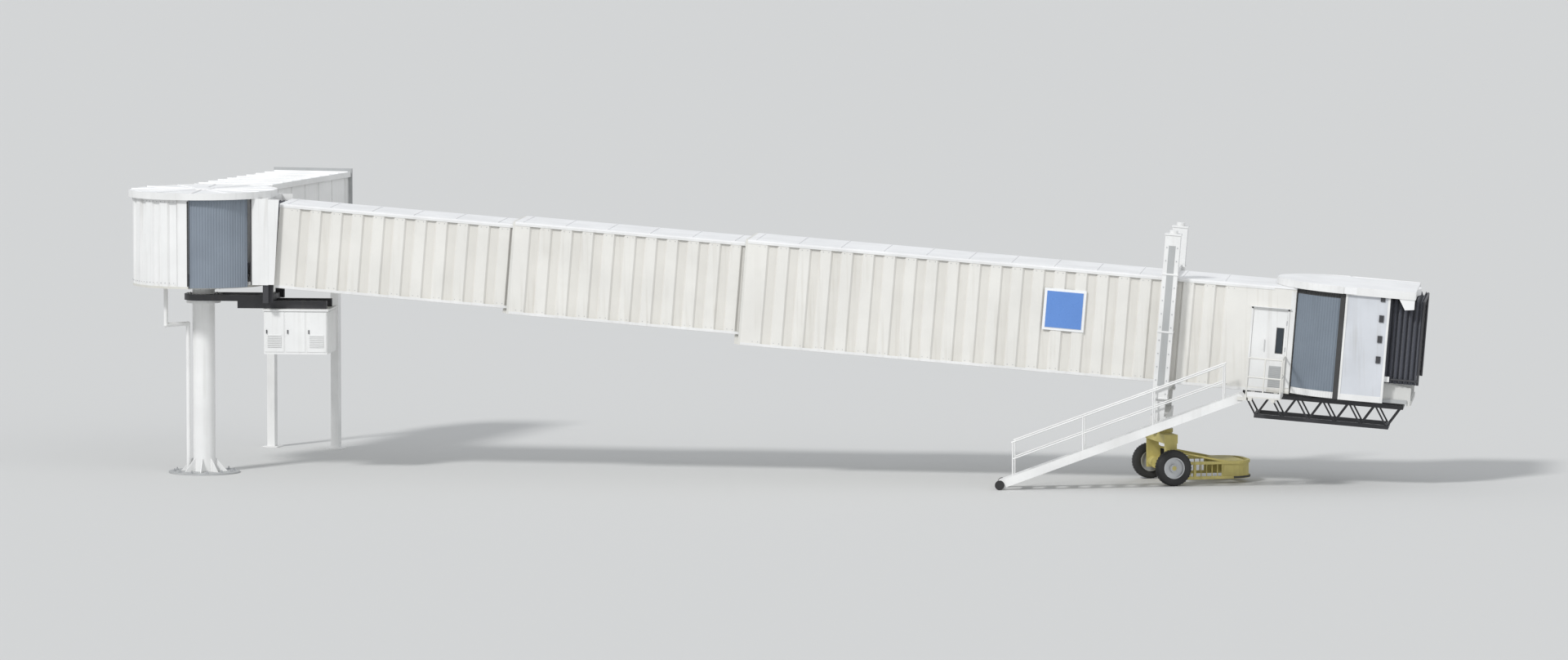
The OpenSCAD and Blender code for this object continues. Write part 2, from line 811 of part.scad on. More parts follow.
module stair_landing() {
    outer = -stair_y - stair_w;
    inner = -c_w / 2;
    post_us = [landing_from + 40, (landing_from + landing_to) / 2, landing_to - 30];
    rail_y = outer + 30;
    far_u = landing_to - 30;
    top = landing_top + rail_h;
    color("silver") tunnel_frame() {
        span([landing_from, outer, landing_top - landing_t], [landing_to, inner, landing_top]);
        for (u = [landing_from + 100, landing_to - 250])
            span([u, outer, landing_top - landing_t - landing_beam_h],
                 [u + 100, inner + 300, landing_top - landing_t]);
        for (u = [landing_from + 100, landing_to - 250])
            span([u, inner + 5, landing_top - landing_t], [u + 100, inner + 300, c_bottom]);
        for (u = post_us) rod(rail_r, [u, rail_y, landing_top - landing_t], [u, rail_y, top]);
        rod(rail_r, [far_u, inner - 60, landing_top - landing_t], [far_u, inner - 60, top]);
        for (h = [top, landing_top + rail_h / 2]) {
            rod(rail_r, [post_us[0], rail_y, h], [far_u, rail_y, h]);
            rod(rail_r, [far_u, rail_y, h], [far_u, inner - 60, h]);
        }
        translate([far_u, rail_y, top]) sphere(r = rail_r);
        translate([far_u, inner - 60, top]) sphere(r = rail_r);
        translate([post_us[0], rail_y, top]) sphere(r = rail_r);
        span([landing_from, outer - clear - hinge_plate_t, landing_top - landing_t - landing_beam_h],
             [landing_from + 60, -stair_y + clear + hinge_plate_t, landing_top]);
        for (y = [-stair_y + clear, outer - clear - hinge_plate_t])
            span([stair_hinge_u - 45, y, stair_hinge_off - 45],
                 [landing_from + over, y + hinge_plate_t, stair_hinge_off + 45]);
        rod(stair_pin_r, [stair_hinge_u, -stair_y + clear + over, stair_hinge_off],
                         [stair_hinge_u, -stair_y - stringer_t, stair_hinge_off]);
        rod(stair_pin_r, [stair_hinge_u, outer - clear - over, stair_hinge_off],
                         [stair_hinge_u, outer + stringer_t, stair_hinge_off]);
    }
}

module stair_stringers() {
    outer = -stair_y - stair_w;
    color("white") stair_at()
        for (y = [-stair_y - stringer_t, outer])
            difference() {
                union() {
                    span([-stair_l, y, -stringer_h / 2], [0, y + stringer_t, stringer_h / 2]);
                    for (x = [-stair_l, 0])
                        translate([x, y + stringer_t, 0]) rotate([90, 0, 0])
                            cylinder(r = stringer_h / 2, h = stringer_t);
                }
                for (x = [-stair_l, 0])
                    translate([x, y + stringer_t + over, 0]) rotate([90, 0, 0])
                        cylinder(r = stair_pin_r + seat, h = stringer_t + 2 * over);
            }
}

module stair_handrails() {
    post_ds = [for (i = [0 : 3]) 400 + i * (stair_l - 800) / 3];
    foot = stringer_h / 2;
    up = [sin(stair_angle), 0, cos(stair_angle)];
    lift = (rail_h - foot) * up;
    color("white") stair_at()
        for (y = [-stair_y - stringer_t / 2, -stair_y - stair_w + stringer_t / 2]) {
            difference() {
                for (d = post_ds) rod(rail_r - 2, [-d, y, foot] - rail_r * up, [-d, y, foot] + lift);
                span([-stair_l, y - 2 * rail_r, -foot], [0, y + 2 * rail_r, foot + seat]);
            }
            rod(rail_r, [-post_ds[3] - 40, y, foot] + lift, [-post_ds[0] + 40, y, foot] + lift);
            rod(rail_r - 4, [-post_ds[3], y, foot] + lift / 2, [-post_ds[0], y, foot] + lift / 2);
        }
}

module stair_treads() {
    outer = -stair_y - stair_w;
    spacing = stair_l / (tread_n + 1);
    color("gray") stair_at()
        for (i = [1 : tread_n])
            translate([-i * spacing, 0, 0]) rotate([0, stair_angle, 0])
                span([-tread_going / 2, outer + stringer_t + seat, -tread_t / 2],
                     [tread_going / 2, -stair_y - stringer_t - seat, tread_t / 2]);
}

module stair_casters() {
    outer = -stair_y - stair_w;
    color("dimgray") stair_at() translate([-stair_l, 0, 0]) rotate([90, 0, 0]) {
        translate([0, 0, stair_y - clear - caster_w]) cylinder(r = caster_r, h = caster_w);
        translate([0, 0, -outer + clear]) cylinder(r = caster_r, h = caster_w);
        translate([0, 0, stair_y - clear - caster_w])
            cylinder(r = stair_pin_r, h = stair_w + 2 * clear + 2 * caster_w);
    }
}

// Lift and bogie

module lift_outer_columns() {
    half = lift_side / 2;
    bore = lift_inner_side / 2 + seat;
    color("white") tunnel_frame() translate([lift_at, 0, 0]) {
        difference() {
            union() {
                both_sides() span([-half, lift_y - half, -lift_bottom], [half, lift_y + half, lift_top]);
                span([-120, -lift_y, c_top], [120, lift_y, c_top + yoke_h]);
                span([-half, -lift_y, c_bottom - 190], [half, lift_y, c_bottom]);
            }
            both_sides() {
                span([-half + lift_wall, lift_y - half + lift_wall, guide_h - lift_bottom],
                     [half - lift_wall, lift_y + half - lift_wall, lift_top - lift_wall]);
                span([-bore, lift_y - bore, -lift_bottom - over], [bore, lift_y + bore, lift_top - 2 * guide_h]);
            }
        }
    }
}

module lift_inner_frame() {
    half = lift_inner_side / 2;
    beam_half = 200;
    color("whitesmoke") difference() {
        union() {
            tunnel_frame() translate([lift_at, 0, 0]) {
                both_sides() span([-half, lift_y - half, -beam_top - over], [half, lift_y + half, lift_inner_top]);
                span([-beam_half, -lift_y - half, -beam_top - beam_h], [beam_half, lift_y + half, -beam_top]);
            }
            translate([bogie_x, 0, bearing_z]) cylinder(r = bearing_r, h = 250);
        }
        tunnel_frame() translate([lift_at, 0, 0]) both_sides()
            span([-half + inner_wall, lift_y - half + inner_wall, -beam_top + inner_wall],
                 [half - inner_wall, lift_y + half - inner_wall, lift_inner_top + over]);
    }
}

module bogie_frame() {
    beam_z = bearing_z - seat - disc_t;
    cheek_in = track / 2 - tyre_w / 2 - 170;
    cheek_out = cheek_in + 100;
    color("gold") bogie_at() {
        translate([0, 0, beam_z]) cylinder(r = bearing_r + 20, h = disc_t);
        span([-180, -cheek_out, beam_z - 230], [180, cheek_out, beam_z]);
        both_sides() {
            span([-160, cheek_in, wheel_r - 140], [160, cheek_out, beam_z]);
            translate([0, cheek_out, wheel_r]) rotate([90, 0, 0]) cylinder(r = 150, h = cheek_out - cheek_in + 320);
            rod(axle_r, [0, cheek_in, wheel_r], [0, track / 2 + tyre_w / 2 - 20, wheel_r]);
        }
    }
}

module bogie_guard() {
    half = 820;
    low = 130;
    high = 520;
    rail_side = 2 * guard_tube_r;
    from = 160;
    bend = 560;
    side_end = guard_reach - bend;
    front_half = half - bend;
    plate_t = 12;
    brace_top = 900;
    function line(start, d) = concat(
        [[start, half + d]],
        [for (a = [90 : -15 : 0]) [side_end + (bend + d) * cos(a), front_half + (bend + d) * sin(a)]],
        [for (a = [0 : -15 : -90]) [side_end + (bend + d) * cos(a), -front_half + (bend + d) * sin(a)]],
        [[start, -half - d]]
    );
    module rail(start, t, h) {
        linear_extrude(h) polygon(concat(line(start, t / 2), reversed(line(start, -t / 2))));
    }
    color("gold") bogie_at() {
        for (z = [low, high]) translate([0, 0, z]) rail(from + 20, rail_side, rail_side);
        translate([0, 0, low + 20]) rail(side_end - 300, plate_t, high - low);
        both_sides() {
            for (x = [from + 500, side_end - 300])
                rod(guard_tube_r - 8, [x, half, low + 20], [x, half, high + 20]);
            span([from, half - 60, low - 20], [from + 40, half + 60, high + rail_side + 20]);
            span([from, half - 30, high], [from + 40, half + 30, brace_top]);
            rod(guard_tube_r - 8, [from + 20, half, brace_top - 40], [side_end, half, high + 20]);
        }
    }
}

// A drive wheel's tyre about the origin, axle along Y
module tyre() {
    corner = 45;
    half = tyre_w / 2;
    rotate([90, 0, 0]) rotate_extrude($fn = 64)
        polygon([
            [rim_r, -half + 20], [wheel_r - corner, -half], [wheel_r, -half + corner],
            [wheel_r, half - corner], [wheel_r - corner, half], [rim_r, half - 20]
        ]);
}

module rim() {
    half = tyre_w / 2 - 20;
    rotate([90, 0, 0]) difference() {
        union() {
            translate([0, 0, -half]) cylinder(r = rim_r - 0.2, h = 2 * half);
        }
        for (side = [0, 1]) mirror([0, 0, side]) translate([0, 0, half - 60])
            difference() {
                cylinder(r = rim_r - 30, h = 60 + over);
                translate([0, 0, -over]) cylinder(r = 115, h = 60 + 3 * over);
            }
        translate([0, 0, -half - over]) cylinder(r = axle_r + seat, h = 2 * half + 2 * over);
    }
}

module near_tyre() { color("black") bogie_at() translate([0, -track / 2, wheel_r]) tyre(); }

module near_rim() { color("lightgray") bogie_at() translate([0, -track / 2, wheel_r]) rim(); }

module far_tyre() { color("black") bogie_at() translate([0, track / 2, wheel_r]) tyre(); }

module far_rim() { color("lightgray") bogie_at() translate([0, track / 2, wheel_r]) rim(); }

// Cab

// A truss below the cab, with a turntable on it
module cab_support() {
    chord = 100;
    chord_y = 600;
    chord_half = 60;
    depth = 650;
    brace_t = 40;
    bays = 6;
    foot_l = 600;
    from = c_rib_end + 100;
    to = cab_at + cab_nose - chord;
    top = cab_floor_bottom - seat - turntable_h;
    low = top - depth;
    half_bay = (to - from - chord) / bays / 2;
    zigzag = [for (i = [0 : 2 * bays])
        [from + chord / 2 + i * half_bay, i % 2 == 0 ? top - chord / 2 : low + chord / 2]];
    color("dimgray") tunnel_frame() {
        translate([cab_at, 0, top]) cylinder(r = turntable_r, h = turntable_h, $fn = 64);
        both_sides() translate([0, chord_y, 0]) {
            span([from, -chord_half, top - chord], [to, chord_half, top]);
            span([from + half_bay, -chord_half, low], [to - half_bay, chord_half, low + chord]);
            span([from, -chord_half, top - over], [from + foot_l, chord_half, c_bottom]);
            translate([0, brace_t / 2, 0]) rotate([90, 0, 0]) linear_extrude(brace_t)
                polygon(concat([for (q = zigzag) q + [0, brace_t]],
                               reversed([for (q = zigzag) q - [0, brace_t]])));
        }
        for (u = [from, cab_at + 600, to - chord])
            span([u, -chord_y, top - chord], [u + chord, chord_y, top]);
        for (u = [from + half_bay, to - half_bay - chord])
            span([u, -chord_y, low], [u + chord, chord_y, low + chord]);
    }
}

module cab_curtain(from, to) {
    color("slategray") cab_frame() translate([0, 0, cab_floor_bottom])
        arc_band(cab_curtain_r, curtain_t, from, to, cab_roof_z - seat - cab_floor_bottom, 16);
}

module cab_near_curtain() { cab_curtain(360 - collar_angle + 0.3, 269.7); }

module cab_far_curtain() { cab_curtain(90.3, collar_angle - 0.3); }

module cab_floor() {
    color("silver") cab_frame() translate([0, 0, cab_floor_bottom]) {
        difference() {
            cylinder(r = cab_floor_r, h = cab_floor_t, $fn = 96);
            span([over, -cab_r, -over], [cab_r, cab_r, cab_floor_t + over]);
        }
        span([0, -cab_floor_half, 0], [cab_front, cab_floor_half, cab_floor_t]);
        span([0, -nose_half, 0], [cab_nose, nose_half, cab_floor_t]);
    }
}

module cab_walls() {
    color("white") cab_frame() both_sides()
        span([0, cab_floor_half, cab_floor_bottom], [cab_front, cab_r, cab_roof_z]);
}

module cab_front_wall() {
    floor_top = c_floor_top;
    color("white") cab_frame() difference() {
        union() {
            span([cab_front - cab_wall_t, -cab_floor_half, floor_top],
                 [cab_front, cab_floor_half, cab_roof_z]);
            both_sides() {
                span([cab_front - over, pivot_y + pivot_t / 2 + clear, pivot_off - 70],
                     [pivot_x + 60, pivot_y + pivot_t / 2 + clear + 40, pivot_off + 70]);
                rod(pivot_r, [pivot_x, pivot_y + pivot_t / 2 + clear + over, pivot_off],
                             [pivot_x, pivot_y - pivot_t / 2, pivot_off]);
            }
        }
        span([0, -cab_door_w / 2, floor_top - over],
             [cab_nose, cab_door_w / 2, floor_top + cab_door_h]);
        both_sides() span([0, window_from, floor_top + window_sill],
                          [cab_nose, window_to, floor_top + window_sill + window_h]);
    }
}

module cab_windows() {
    pane_t = 10;
    middle = cab_front - cab_wall_t / 2;
    color("lightsteelblue", 0.5) cab_frame() both_sides()
        span([middle - pane_t / 2, window_from, c_floor_top + window_sill],
             [middle + pane_t / 2, window_to, c_floor_top + window_sill + window_h]);
}

module cab_roof() {
    color("white") cab_frame() translate([0, 0, cab_roof_z]) {
        cylinder(r = cab_r + 100, h = cab_roof_t, $fn = 96);
        span([0, -cab_r - 60, 0], [cab_nose, cab_r + 60, cab_roof_t]);
        both_sides() translate([0, cab_r + 60, 0]) rotate([90, 0, 0])
            linear_extrude(160)
                polygon([[cab_nose - 420, over], [cab_nose - 240, -visor_h],
                         [cab_nose, -visor_h + 30], [cab_nose, over]]);
    }
}

module cab_bumper() {
    bumper_t = 90;
    cheek_t = 50;
    color("whitesmoke") cab_frame() {
        span([cab_nose + seat, -bumper_y, cab_floor_bottom - 60],
             [cab_nose + bumper_t, bumper_y, c_floor_top + 20]);
        both_sides() translate([0, bumper_y, 0]) rotate([90, 0, 0]) linear_extrude(cheek_t)
            polygon([[cab_front + seat, c_floor_top + seat], [cab_nose + bumper_t, c_floor_top + seat],
                     [cab_nose + bumper_t, 0], [cab_front + seat, canopy_bottom - 10]]);
    }
}

function pleat_line(from, to, shift) =
    let (pitch = (to - from) / pleat_n)
    concat(
        [for (i = [0 : pleat_n - 1])
            each [[from + i * pitch, shift], [from + (i + 0.5) * pitch, shift - pleat_d]]],
        [[to, shift]]
    );

module pleated_sheet(from, to) {
    polygon(concat(pleat_line(from, to, 0), reversed(pleat_line(from, to, -canopy_t))));
}

module canopy_bellows() {
    from = cab_front + seat;
    color("dimgray") cab_frame() {
        both_sides() translate([0, canopy_y, canopy_bottom])
            linear_extrude(canopy_top - canopy_bottom) pleated_sheet(from, canopy_end);
        translate([0, canopy_y, canopy_top]) rotate([90, 0, 0])
            linear_extrude(2 * canopy_y) pleated_sheet(from, canopy_end);
    }
}

module canopy_hoop() {
    joint_r = hoop_r + 3;
    x = canopy_end + joint_r + seat;
    y = canopy_y - hoop_r;
    top = canopy_top - 60;
    arm_r = hoop_r - 8;
    color("dimgray") cab_frame() {
        both_sides() {
            rod(hoop_r, [x, y, canopy_bottom], [x, y, top]);
            translate([x, y, top]) sphere(r = joint_r);
            rod(arm_r, [x, y, pivot_off], [x, pivot_y + arm_r, pivot_off]);
            difference() {
                union() {
                    rod(arm_r - 2, [pivot_x + 35, pivot_y, pivot_off], [x, pivot_y, pivot_off]);
                    translate([pivot_x, pivot_y + pivot_t / 2, pivot_off]) rotate([90, 0, 0])
                        cylinder(r = 50, h = pivot_t);
                }
                translate([pivot_x, pivot_y + pivot_t / 2 + over, pivot_off]) rotate([90, 0, 0])
                    cylinder(r = pivot_r + seat, h = pivot_t + 2 * over);
            }
        }
        rod(hoop_r, [x, -y, top], [x, y, top]);
    }
}

base_plate();
rotunda_column();
column_pipe();
rotunda_floor();
rotunda_walls();
rotunda_roof();
corridor_floor();
corridor_walls();
corridor_roof();
corridor_legs();
corridor_flange();
swing_frame();
entrance_frame();
entrance_bellows();
equipment_cabinet();
rotunda_near_curtain();
rotunda_far_curtain();
tunnel_a_floor();
tunnel_a_walls();
tunnel_a_roof();
tunnel_b_floor();
tunnel_b_walls();
tunnel_b_roof();
tunnel_b_entry();
tunnel_c_floor();
tunnel_c_walls();
tunnel_c_roof();
tunnel_c_entry();
sign_panel();
service_door();
stair_landing();
lift_outer_columns();
lift_inner_frame();
bogie_frame();
bogie_guard();
near_tyre();
near_rim();
far_tyre();
far_rim();
stair_stringers();
stair_handrails();
stair_treads();
stair_casters();
cab_support();
cab_near_curtain();
cab_far_curtain();
cab_floor();
cab_walls();
cab_front_wall();
cab_windows();
cab_roof();
cab_bumper();
canopy_bellows();
canopy_hoop();
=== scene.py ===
import json
import logging
import math
from dataclasses import dataclass, field
from enum import Enum

import bmesh
import bpy
from mathutils import Matrix, Vector

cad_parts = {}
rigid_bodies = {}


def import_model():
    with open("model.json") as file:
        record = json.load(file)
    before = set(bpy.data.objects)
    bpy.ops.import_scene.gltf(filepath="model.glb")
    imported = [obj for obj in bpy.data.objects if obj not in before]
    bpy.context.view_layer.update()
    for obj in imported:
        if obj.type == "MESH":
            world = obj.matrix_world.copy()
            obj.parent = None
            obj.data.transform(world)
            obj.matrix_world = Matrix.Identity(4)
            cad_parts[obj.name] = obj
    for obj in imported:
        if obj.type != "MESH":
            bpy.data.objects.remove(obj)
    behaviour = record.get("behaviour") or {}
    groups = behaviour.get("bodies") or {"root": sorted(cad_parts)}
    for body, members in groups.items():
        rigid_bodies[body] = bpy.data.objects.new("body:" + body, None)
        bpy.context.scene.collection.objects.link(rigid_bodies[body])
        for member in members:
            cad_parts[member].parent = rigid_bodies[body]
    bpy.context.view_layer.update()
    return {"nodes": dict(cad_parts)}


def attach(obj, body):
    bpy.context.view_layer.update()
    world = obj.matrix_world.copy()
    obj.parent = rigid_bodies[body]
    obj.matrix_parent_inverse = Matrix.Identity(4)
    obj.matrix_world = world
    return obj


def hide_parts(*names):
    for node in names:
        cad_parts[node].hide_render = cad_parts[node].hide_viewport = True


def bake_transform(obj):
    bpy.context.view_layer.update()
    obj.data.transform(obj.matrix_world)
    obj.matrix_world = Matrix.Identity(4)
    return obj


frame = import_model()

log = logging.getLogger("boarding_bridge")
Point = tuple[float, float, float]
Colour = tuple[float, float, float]

SLOPE = math.radians(4.6)
CORRIDOR_AZIMUTH = math.radians(78)
BOGIE_YAW = math.radians(20)
HINGE = Vector((1.99, 0.0, 5.11))
TUNNEL = Matrix.Translation(HINGE) @ Matrix.Rotation(SLOPE, 4, "Y")
CAB_AT = 28.5
CAB = TUNNEL @ Matrix.Translation((CAB_AT, 0, 0))
CORRIDOR = Matrix.Rotation(CORRIDOR_AZIMUTH, 4, "Z")
LIFT_AT = 23.85
BEAM_DROP = 1.46
BOGIE_X = HINGE.x + LIFT_AT * math.cos(SLOPE) - BEAM_DROP * math.sin(SLOPE)
BOGIE = Matrix.Translation((BOGIE_X, 0, 0)) @ Matrix.Rotation(BOGIE_YAW, 4, "Z")
STAIR_LENGTH = 6.69
CASTER_RADIUS = 0.125
LANDING_HINGE = Vector((25.97, 0.0, -0.56))
STAIR_TOP = TUNNEL @ LANDING_HINGE
STAIR_ANGLE = math.asin((STAIR_TOP.z - CASTER_RADIUS) / STAIR_LENGTH)
STAIR = Matrix.Translation(STAIR_TOP) @ Matrix.Rotation(-STAIR_ANGLE, 4, "Y")
WORLD = Matrix.Identity(4)
SIDES = (-1, 1)
HEXAGON = 6
# Close to straight up, and not along any stretch of a tube
NEARLY_UP = Vector((0.013, 0.021, 1.0))
# Each fold as (share of its length, share of its depth), from one crest to the next
FOLD_SHAPE = ((0.0, 0.0), (0.12, 0.06), (0.38, 0.92), (0.5, 1.0), (0.62, 0.92), (0.88, 0.06))
# The colour sockets of a Mix node, which share their names with its other sockets
MIX_FIRST, MIX_SECOND, MIX_RESULT = 6, 7, 2


class Layout(Enum):
    """How a small shape is repeated."""

    ROW = "row"
    ARC = "arc"


class Look(Enum):
    """How faces are shaded."""

    FLAT = "flat"
    SMOOTH = "smooth"


@dataclass(frozen=True)
class Finish:
    """One paint, rubber, cloth or metal, with the wear and soiling that it shows outdoors, and painted shade
    in the rib valleys where a valley band is given.
    """

    name: str
    slot: str
    colour: Colour
    roughness: float = 0.5
    metallic: float = 0.0
    mottle: float = 0.08
    streak: float = 0.0
    # Colour of the rain streaks, and also of the painted shade that darkens the rib valleys
    grime_and_shade: Colour = (0.30, 0.27, 0.22)
    bump: float = 0.05
    grain: float = 60.0
    weave: float = 0.0
    valley: tuple[float, float] | None = None
    valley_shade: float = 0.0
    alpha: float = 1.0
    sheen: float = 0.0

    def material(self) -> bpy.types.Material:
        """Returns the finish's material, made once.

        Returns:
            The material with its node tree.
        """
        found = bpy.data.materials.get(self.name)
        if found:
            return found
        made = bpy.data.materials.new(self.name)
        made.use_nodes = True
        tree = made.node_tree
        shader = tree.nodes["Principled BSDF"]
        place = tree.nodes.new("ShaderNodeTexCoord").outputs["Object"]
        colour = self._mottled(tree, place)
        if self.streak:
            colour = self._streaked(tree, place, colour)
        if self.valley:
            colour = self._shaded_valleys(tree, place, colour)
        tree.links.new(colour, shader.inputs["Base Color"])
        shader.inputs["Metallic"].default_value = self.metallic
        shader.inputs["Alpha"].default_value = self.alpha
        shader.inputs["Sheen Weight"].default_value = self.sheen
        self._surface(tree, place, shader)
        return made

    def _noise(self, tree: bpy.types.NodeTree, place: bpy.types.NodeSocket, scale: Point,
               detail: float = 3.0) -> bpy.types.NodeSocket:
        """Adds a noise on stretched object coordinates.

        Args:
            tree: The material's tree.
            place: The object coordinates.
            scale: The pattern's repeats per metre along X, Y and Z.
            detail: The noise's detail.

        Returns:
            The noise's factor.
        """
        mapping = tree.nodes.new("ShaderNodeMapping")
        mapping.inputs["Scale"].default_value = scale
        tree.links.new(place, mapping.inputs["Vector"])
        noise = tree.nodes.new("ShaderNodeTexNoise")
        noise.inputs["Scale"].default_value = 1.0
        noise.inputs["Detail"].default_value = detail
        tree.links.new(mapping.outputs["Vector"], noise.inputs["Vector"])
        return noise.outputs["Fac"]

    def _ranged(self, tree: bpy.types.NodeTree, value: bpy.types.NodeSocket, low: float, high: float,
                to_low: float, to_high: float) -> bpy.types.NodeSocket:
        """Maps a value from one range to another, clamped.

        Args:
            tree: The material's tree.
            value: The value.
            low: Where the first range starts.
            high: Where the first range ends.
            to_low: What the start becomes.
            to_high: What the end becomes.

        Returns:
            The mapped value.
        """
        node = tree.nodes.new("ShaderNodeMapRange")
        for name, number in (("From Min", low), ("From Max", high), ("To Min", to_low), ("To Max", to_high)):
            node.inputs[name].default_value = number
        tree.links.new(value, node.inputs["Value"])
        return node.outputs["Result"]

    def _mix(self, tree: bpy.types.NodeTree, factor: bpy.types.NodeSocket, first: object,
             second: object) -> bpy.types.NodeSocket:
        """Mixes two colours.

        Args:
            tree: The material's tree.
            factor: How much of the second.
            first: A colour or a socket.
            second: A colour or a socket.

        Returns:
            The mixed colour.
        """
        node = tree.nodes.new("ShaderNodeMix")
        node.data_type = "RGBA"
        tree.links.new(factor, node.inputs["Factor"])
        for socket, value in ((node.inputs[MIX_FIRST], first), (node.inputs[MIX_SECOND], second)):
            if isinstance(value, bpy.types.NodeSocket):
                tree.links.new(value, socket)
            else:
                socket.default_value = (*value, 1.0)
        return node.outputs[MIX_RESULT]

    def _mottled(self, tree: bpy.types.NodeTree, place: bpy.types.NodeSocket) -> bpy.types.NodeSocket:
        """Varies the base colour in soft patches of two sizes.

        Args:
            tree: The material's tree.
            place: The object coordinates.

        Returns:
            The mottled colour.
        """
        darker = tuple(c * (1 - self.mottle) for c in self.colour)
        lighter = tuple(min(1.0, c * (1 + self.mottle * 0.5)) for c in self.colour)
        wide = self._noise(tree, place, scale=(0.9, 0.9, 0.9), detail=4.0)
        wide = self._ranged(tree, wide, low=0.35, high=0.65, to_low=0, to_high=1)
        fine = self._noise(tree, place, scale=(14, 14, 14), detail=5.0)
        fine = self._ranged(tree, fine, low=0.55, high=0.8, to_low=0, to_high=0.35)
        return self._mix(tree, fine, self._mix(tree, wide, darker, lighter), darker)

    def _streaked(self, tree: bpy.types.NodeTree, place: bpy.types.NodeSocket,
                  colour: bpy.types.NodeSocket) -> bpy.types.NodeSocket:
        """Runs thin rain streaks down the surface.

        Args:
            tree: The material's tree.
            place: The object coordinates.
            colour: The colour without streaks.

        Returns:
            The streaked colour.
        """
        thin = self._noise(tree, place, scale=(9, 9, 0.35), detail=6.0)
        patch = self._noise(tree, place, scale=(0.5, 0.5, 0.8), detail=2.0)
        gate = self._ranged(tree, patch, low=0.4, high=0.7, to_low=0.15, to_high=1.0)
        line = self._ranged(tree, thin, low=0.52, high=0.75, to_low=0.0, to_high=self.streak)
        both = tree.nodes.new("ShaderNodeMath")
        both.operation = "MULTIPLY"
        tree.links.new(line, both.inputs[0])
        tree.links.new(gate, both.inputs[1])
        return self._mix(tree, both.outputs[0], colour, self.grime_and_shade)

    def _shaded_valleys(self, tree: bpy.types.NodeTree, place: bpy.types.NodeSocket,
                 colour: bpy.types.NodeSocket) -> bpy.types.NodeSocket:
        """Paints shade into the valleys between the ribs, which lie nearer to the tunnel's middle than the
        lands, by mixing in the grime colour.

        Args:
            tree: The material's tree.
            place: The object coordinates.
            colour: The colour of the lands.

        Returns:
            The soiled colour.
        """
        split = tree.nodes.new("ShaderNodeSeparateXYZ")
        tree.links.new(place, split.inputs[0])
        size = tree.nodes.new("ShaderNodeMath")
        size.operation = "ABSOLUTE"
        tree.links.new(split.outputs["Y"], size.inputs[0])
        # Painted shade: surfaces set in from the ribs' outer lands turn towards the grime colour
        shade = self._ranged(tree, size.outputs[0], *self.valley, self.valley_shade, 0.0)
        return self._mix(tree, shade, colour, self.grime_and_shade)

    def _surface(self, tree: bpy.types.NodeTree, place: bpy.types.NodeSocket, shader: bpy.types.Node) -> None:
        """Varies the roughness and adds the grain or weave as bump.

        Args:
            tree: The material's tree.
            place: The object coordinates.
            shader: The material's shader.
        """
        rough = self._noise(tree, place, scale=(7, 7, 7), detail=4.0)
        rough = self._ranged(tree, rough, low=0.3, high=0.7, to_low=self.roughness - 0.07,
                             to_high=self.roughness + 0.09)
        tree.links.new(rough, shader.inputs["Roughness"])
        height = self._noise(tree, place, scale=(self.grain,) * 3)
        if self.weave:
            wave = tree.nodes.new("ShaderNodeTexWave")
            wave.bands_direction = "Z"
            wave.inputs["Scale"].default_value = self.weave
            tree.links.new(place, wave.inputs["Vector"])
            height = wave.outputs["Fac"]
        bump = tree.nodes.new("ShaderNodeBump")
        bump.inputs["Strength"].default_value = self.bump
        bump.inputs["Distance"].default_value = 0.01
        tree.links.new(height, bump.inputs["Height"])
        tree.links.new(bump.outputs["Normal"], shader.inputs["Normal"])


WHITE = Finish("white_panel_paint", "white_paint", (0.80, 0.80, 0.79), 0.42, streak=0.30, mottle=0.05)
ROOF = Finish("white_roof_paint", "white_paint", (0.86, 0.86, 0.86), 0.5, mottle=0.06)
STEEL_WHITE = Finish("white_steelwork_paint", "white_paint", (0.78, 0.78, 0.77), 0.38, streak=0.18)
GREY = Finish("grey_steelwork_paint", "grey_paint", (0.42, 0.43, 0.43), 0.5, streak=0.25)
SILL = Finish("sill_beam_paint", "grey_paint", (0.66, 0.65, 0.60), 0.5, streak=0.35)
FRAME_GREY = Finish("entry_frame_paint", "grey_paint", (0.70, 0.69, 0.65), 0.5, streak=0.2)
GALVANISED = Finish("galvanised_steel", "grey_paint", (0.50, 0.51, 0.52), 0.45, metallic=0.7, mottle=0.15)
DARK = Finish("dark_steelwork_paint", "dark_paint", (0.045, 0.045, 0.05), 0.45, streak=0.3,
              grime_and_shade=(0.12, 0.10, 0.08))
YELLOW = Finish("guard_yellow_paint", "yellow_paint", (0.58, 0.50, 0.17), 0.55, mottle=0.25, streak=0.45,
                grime_and_shade=(0.16, 0.13, 0.07))
BLUE = Finish("sign_blue_enamel", "blue_paint", (0.12, 0.26, 0.62), 0.3, mottle=0.04)
SIGN_WHITE = Finish("sign_white_enamel", "blue_paint", (0.84, 0.85, 0.86), 0.3, mottle=0.03)
SLATS = Finish("curtain_slat_paint", "curtain_slats", (0.222, 0.258, 0.305), 0.5, streak=0.25,
               grime_and_shade=(0.10, 0.11, 0.12))
# Cab curtain slats: the curtain slat paint darkened as painted shade
CAB_SLATS_SHADED = Finish("cab_slat_paint_shaded", "curtain_slats", (0.185, 0.220, 0.262), 0.5, streak=0.3,
                   grime_and_shade=(0.10, 0.11, 0.12))
# Cab side walls: the white paint darkened and cooled as painted shade, with real rain streaks
CAB_WALL_SHADED = Finish("cab_wall_paint_shaded", "white_paint", (0.62, 0.64, 0.675), 0.42, streak=0.45, mottle=0.08)
CLOTH = Finish("bellows_coated_cloth", "bellows_fabric", (0.058, 0.062, 0.080), 0.7, bump=0.3, weave=160.0,
               sheen=0.2)
TYRE = Finish("tyre_rubber", "tyre_rubber", (0.025, 0.025, 0.027), 0.75, mottle=0.2, bump=0.2)
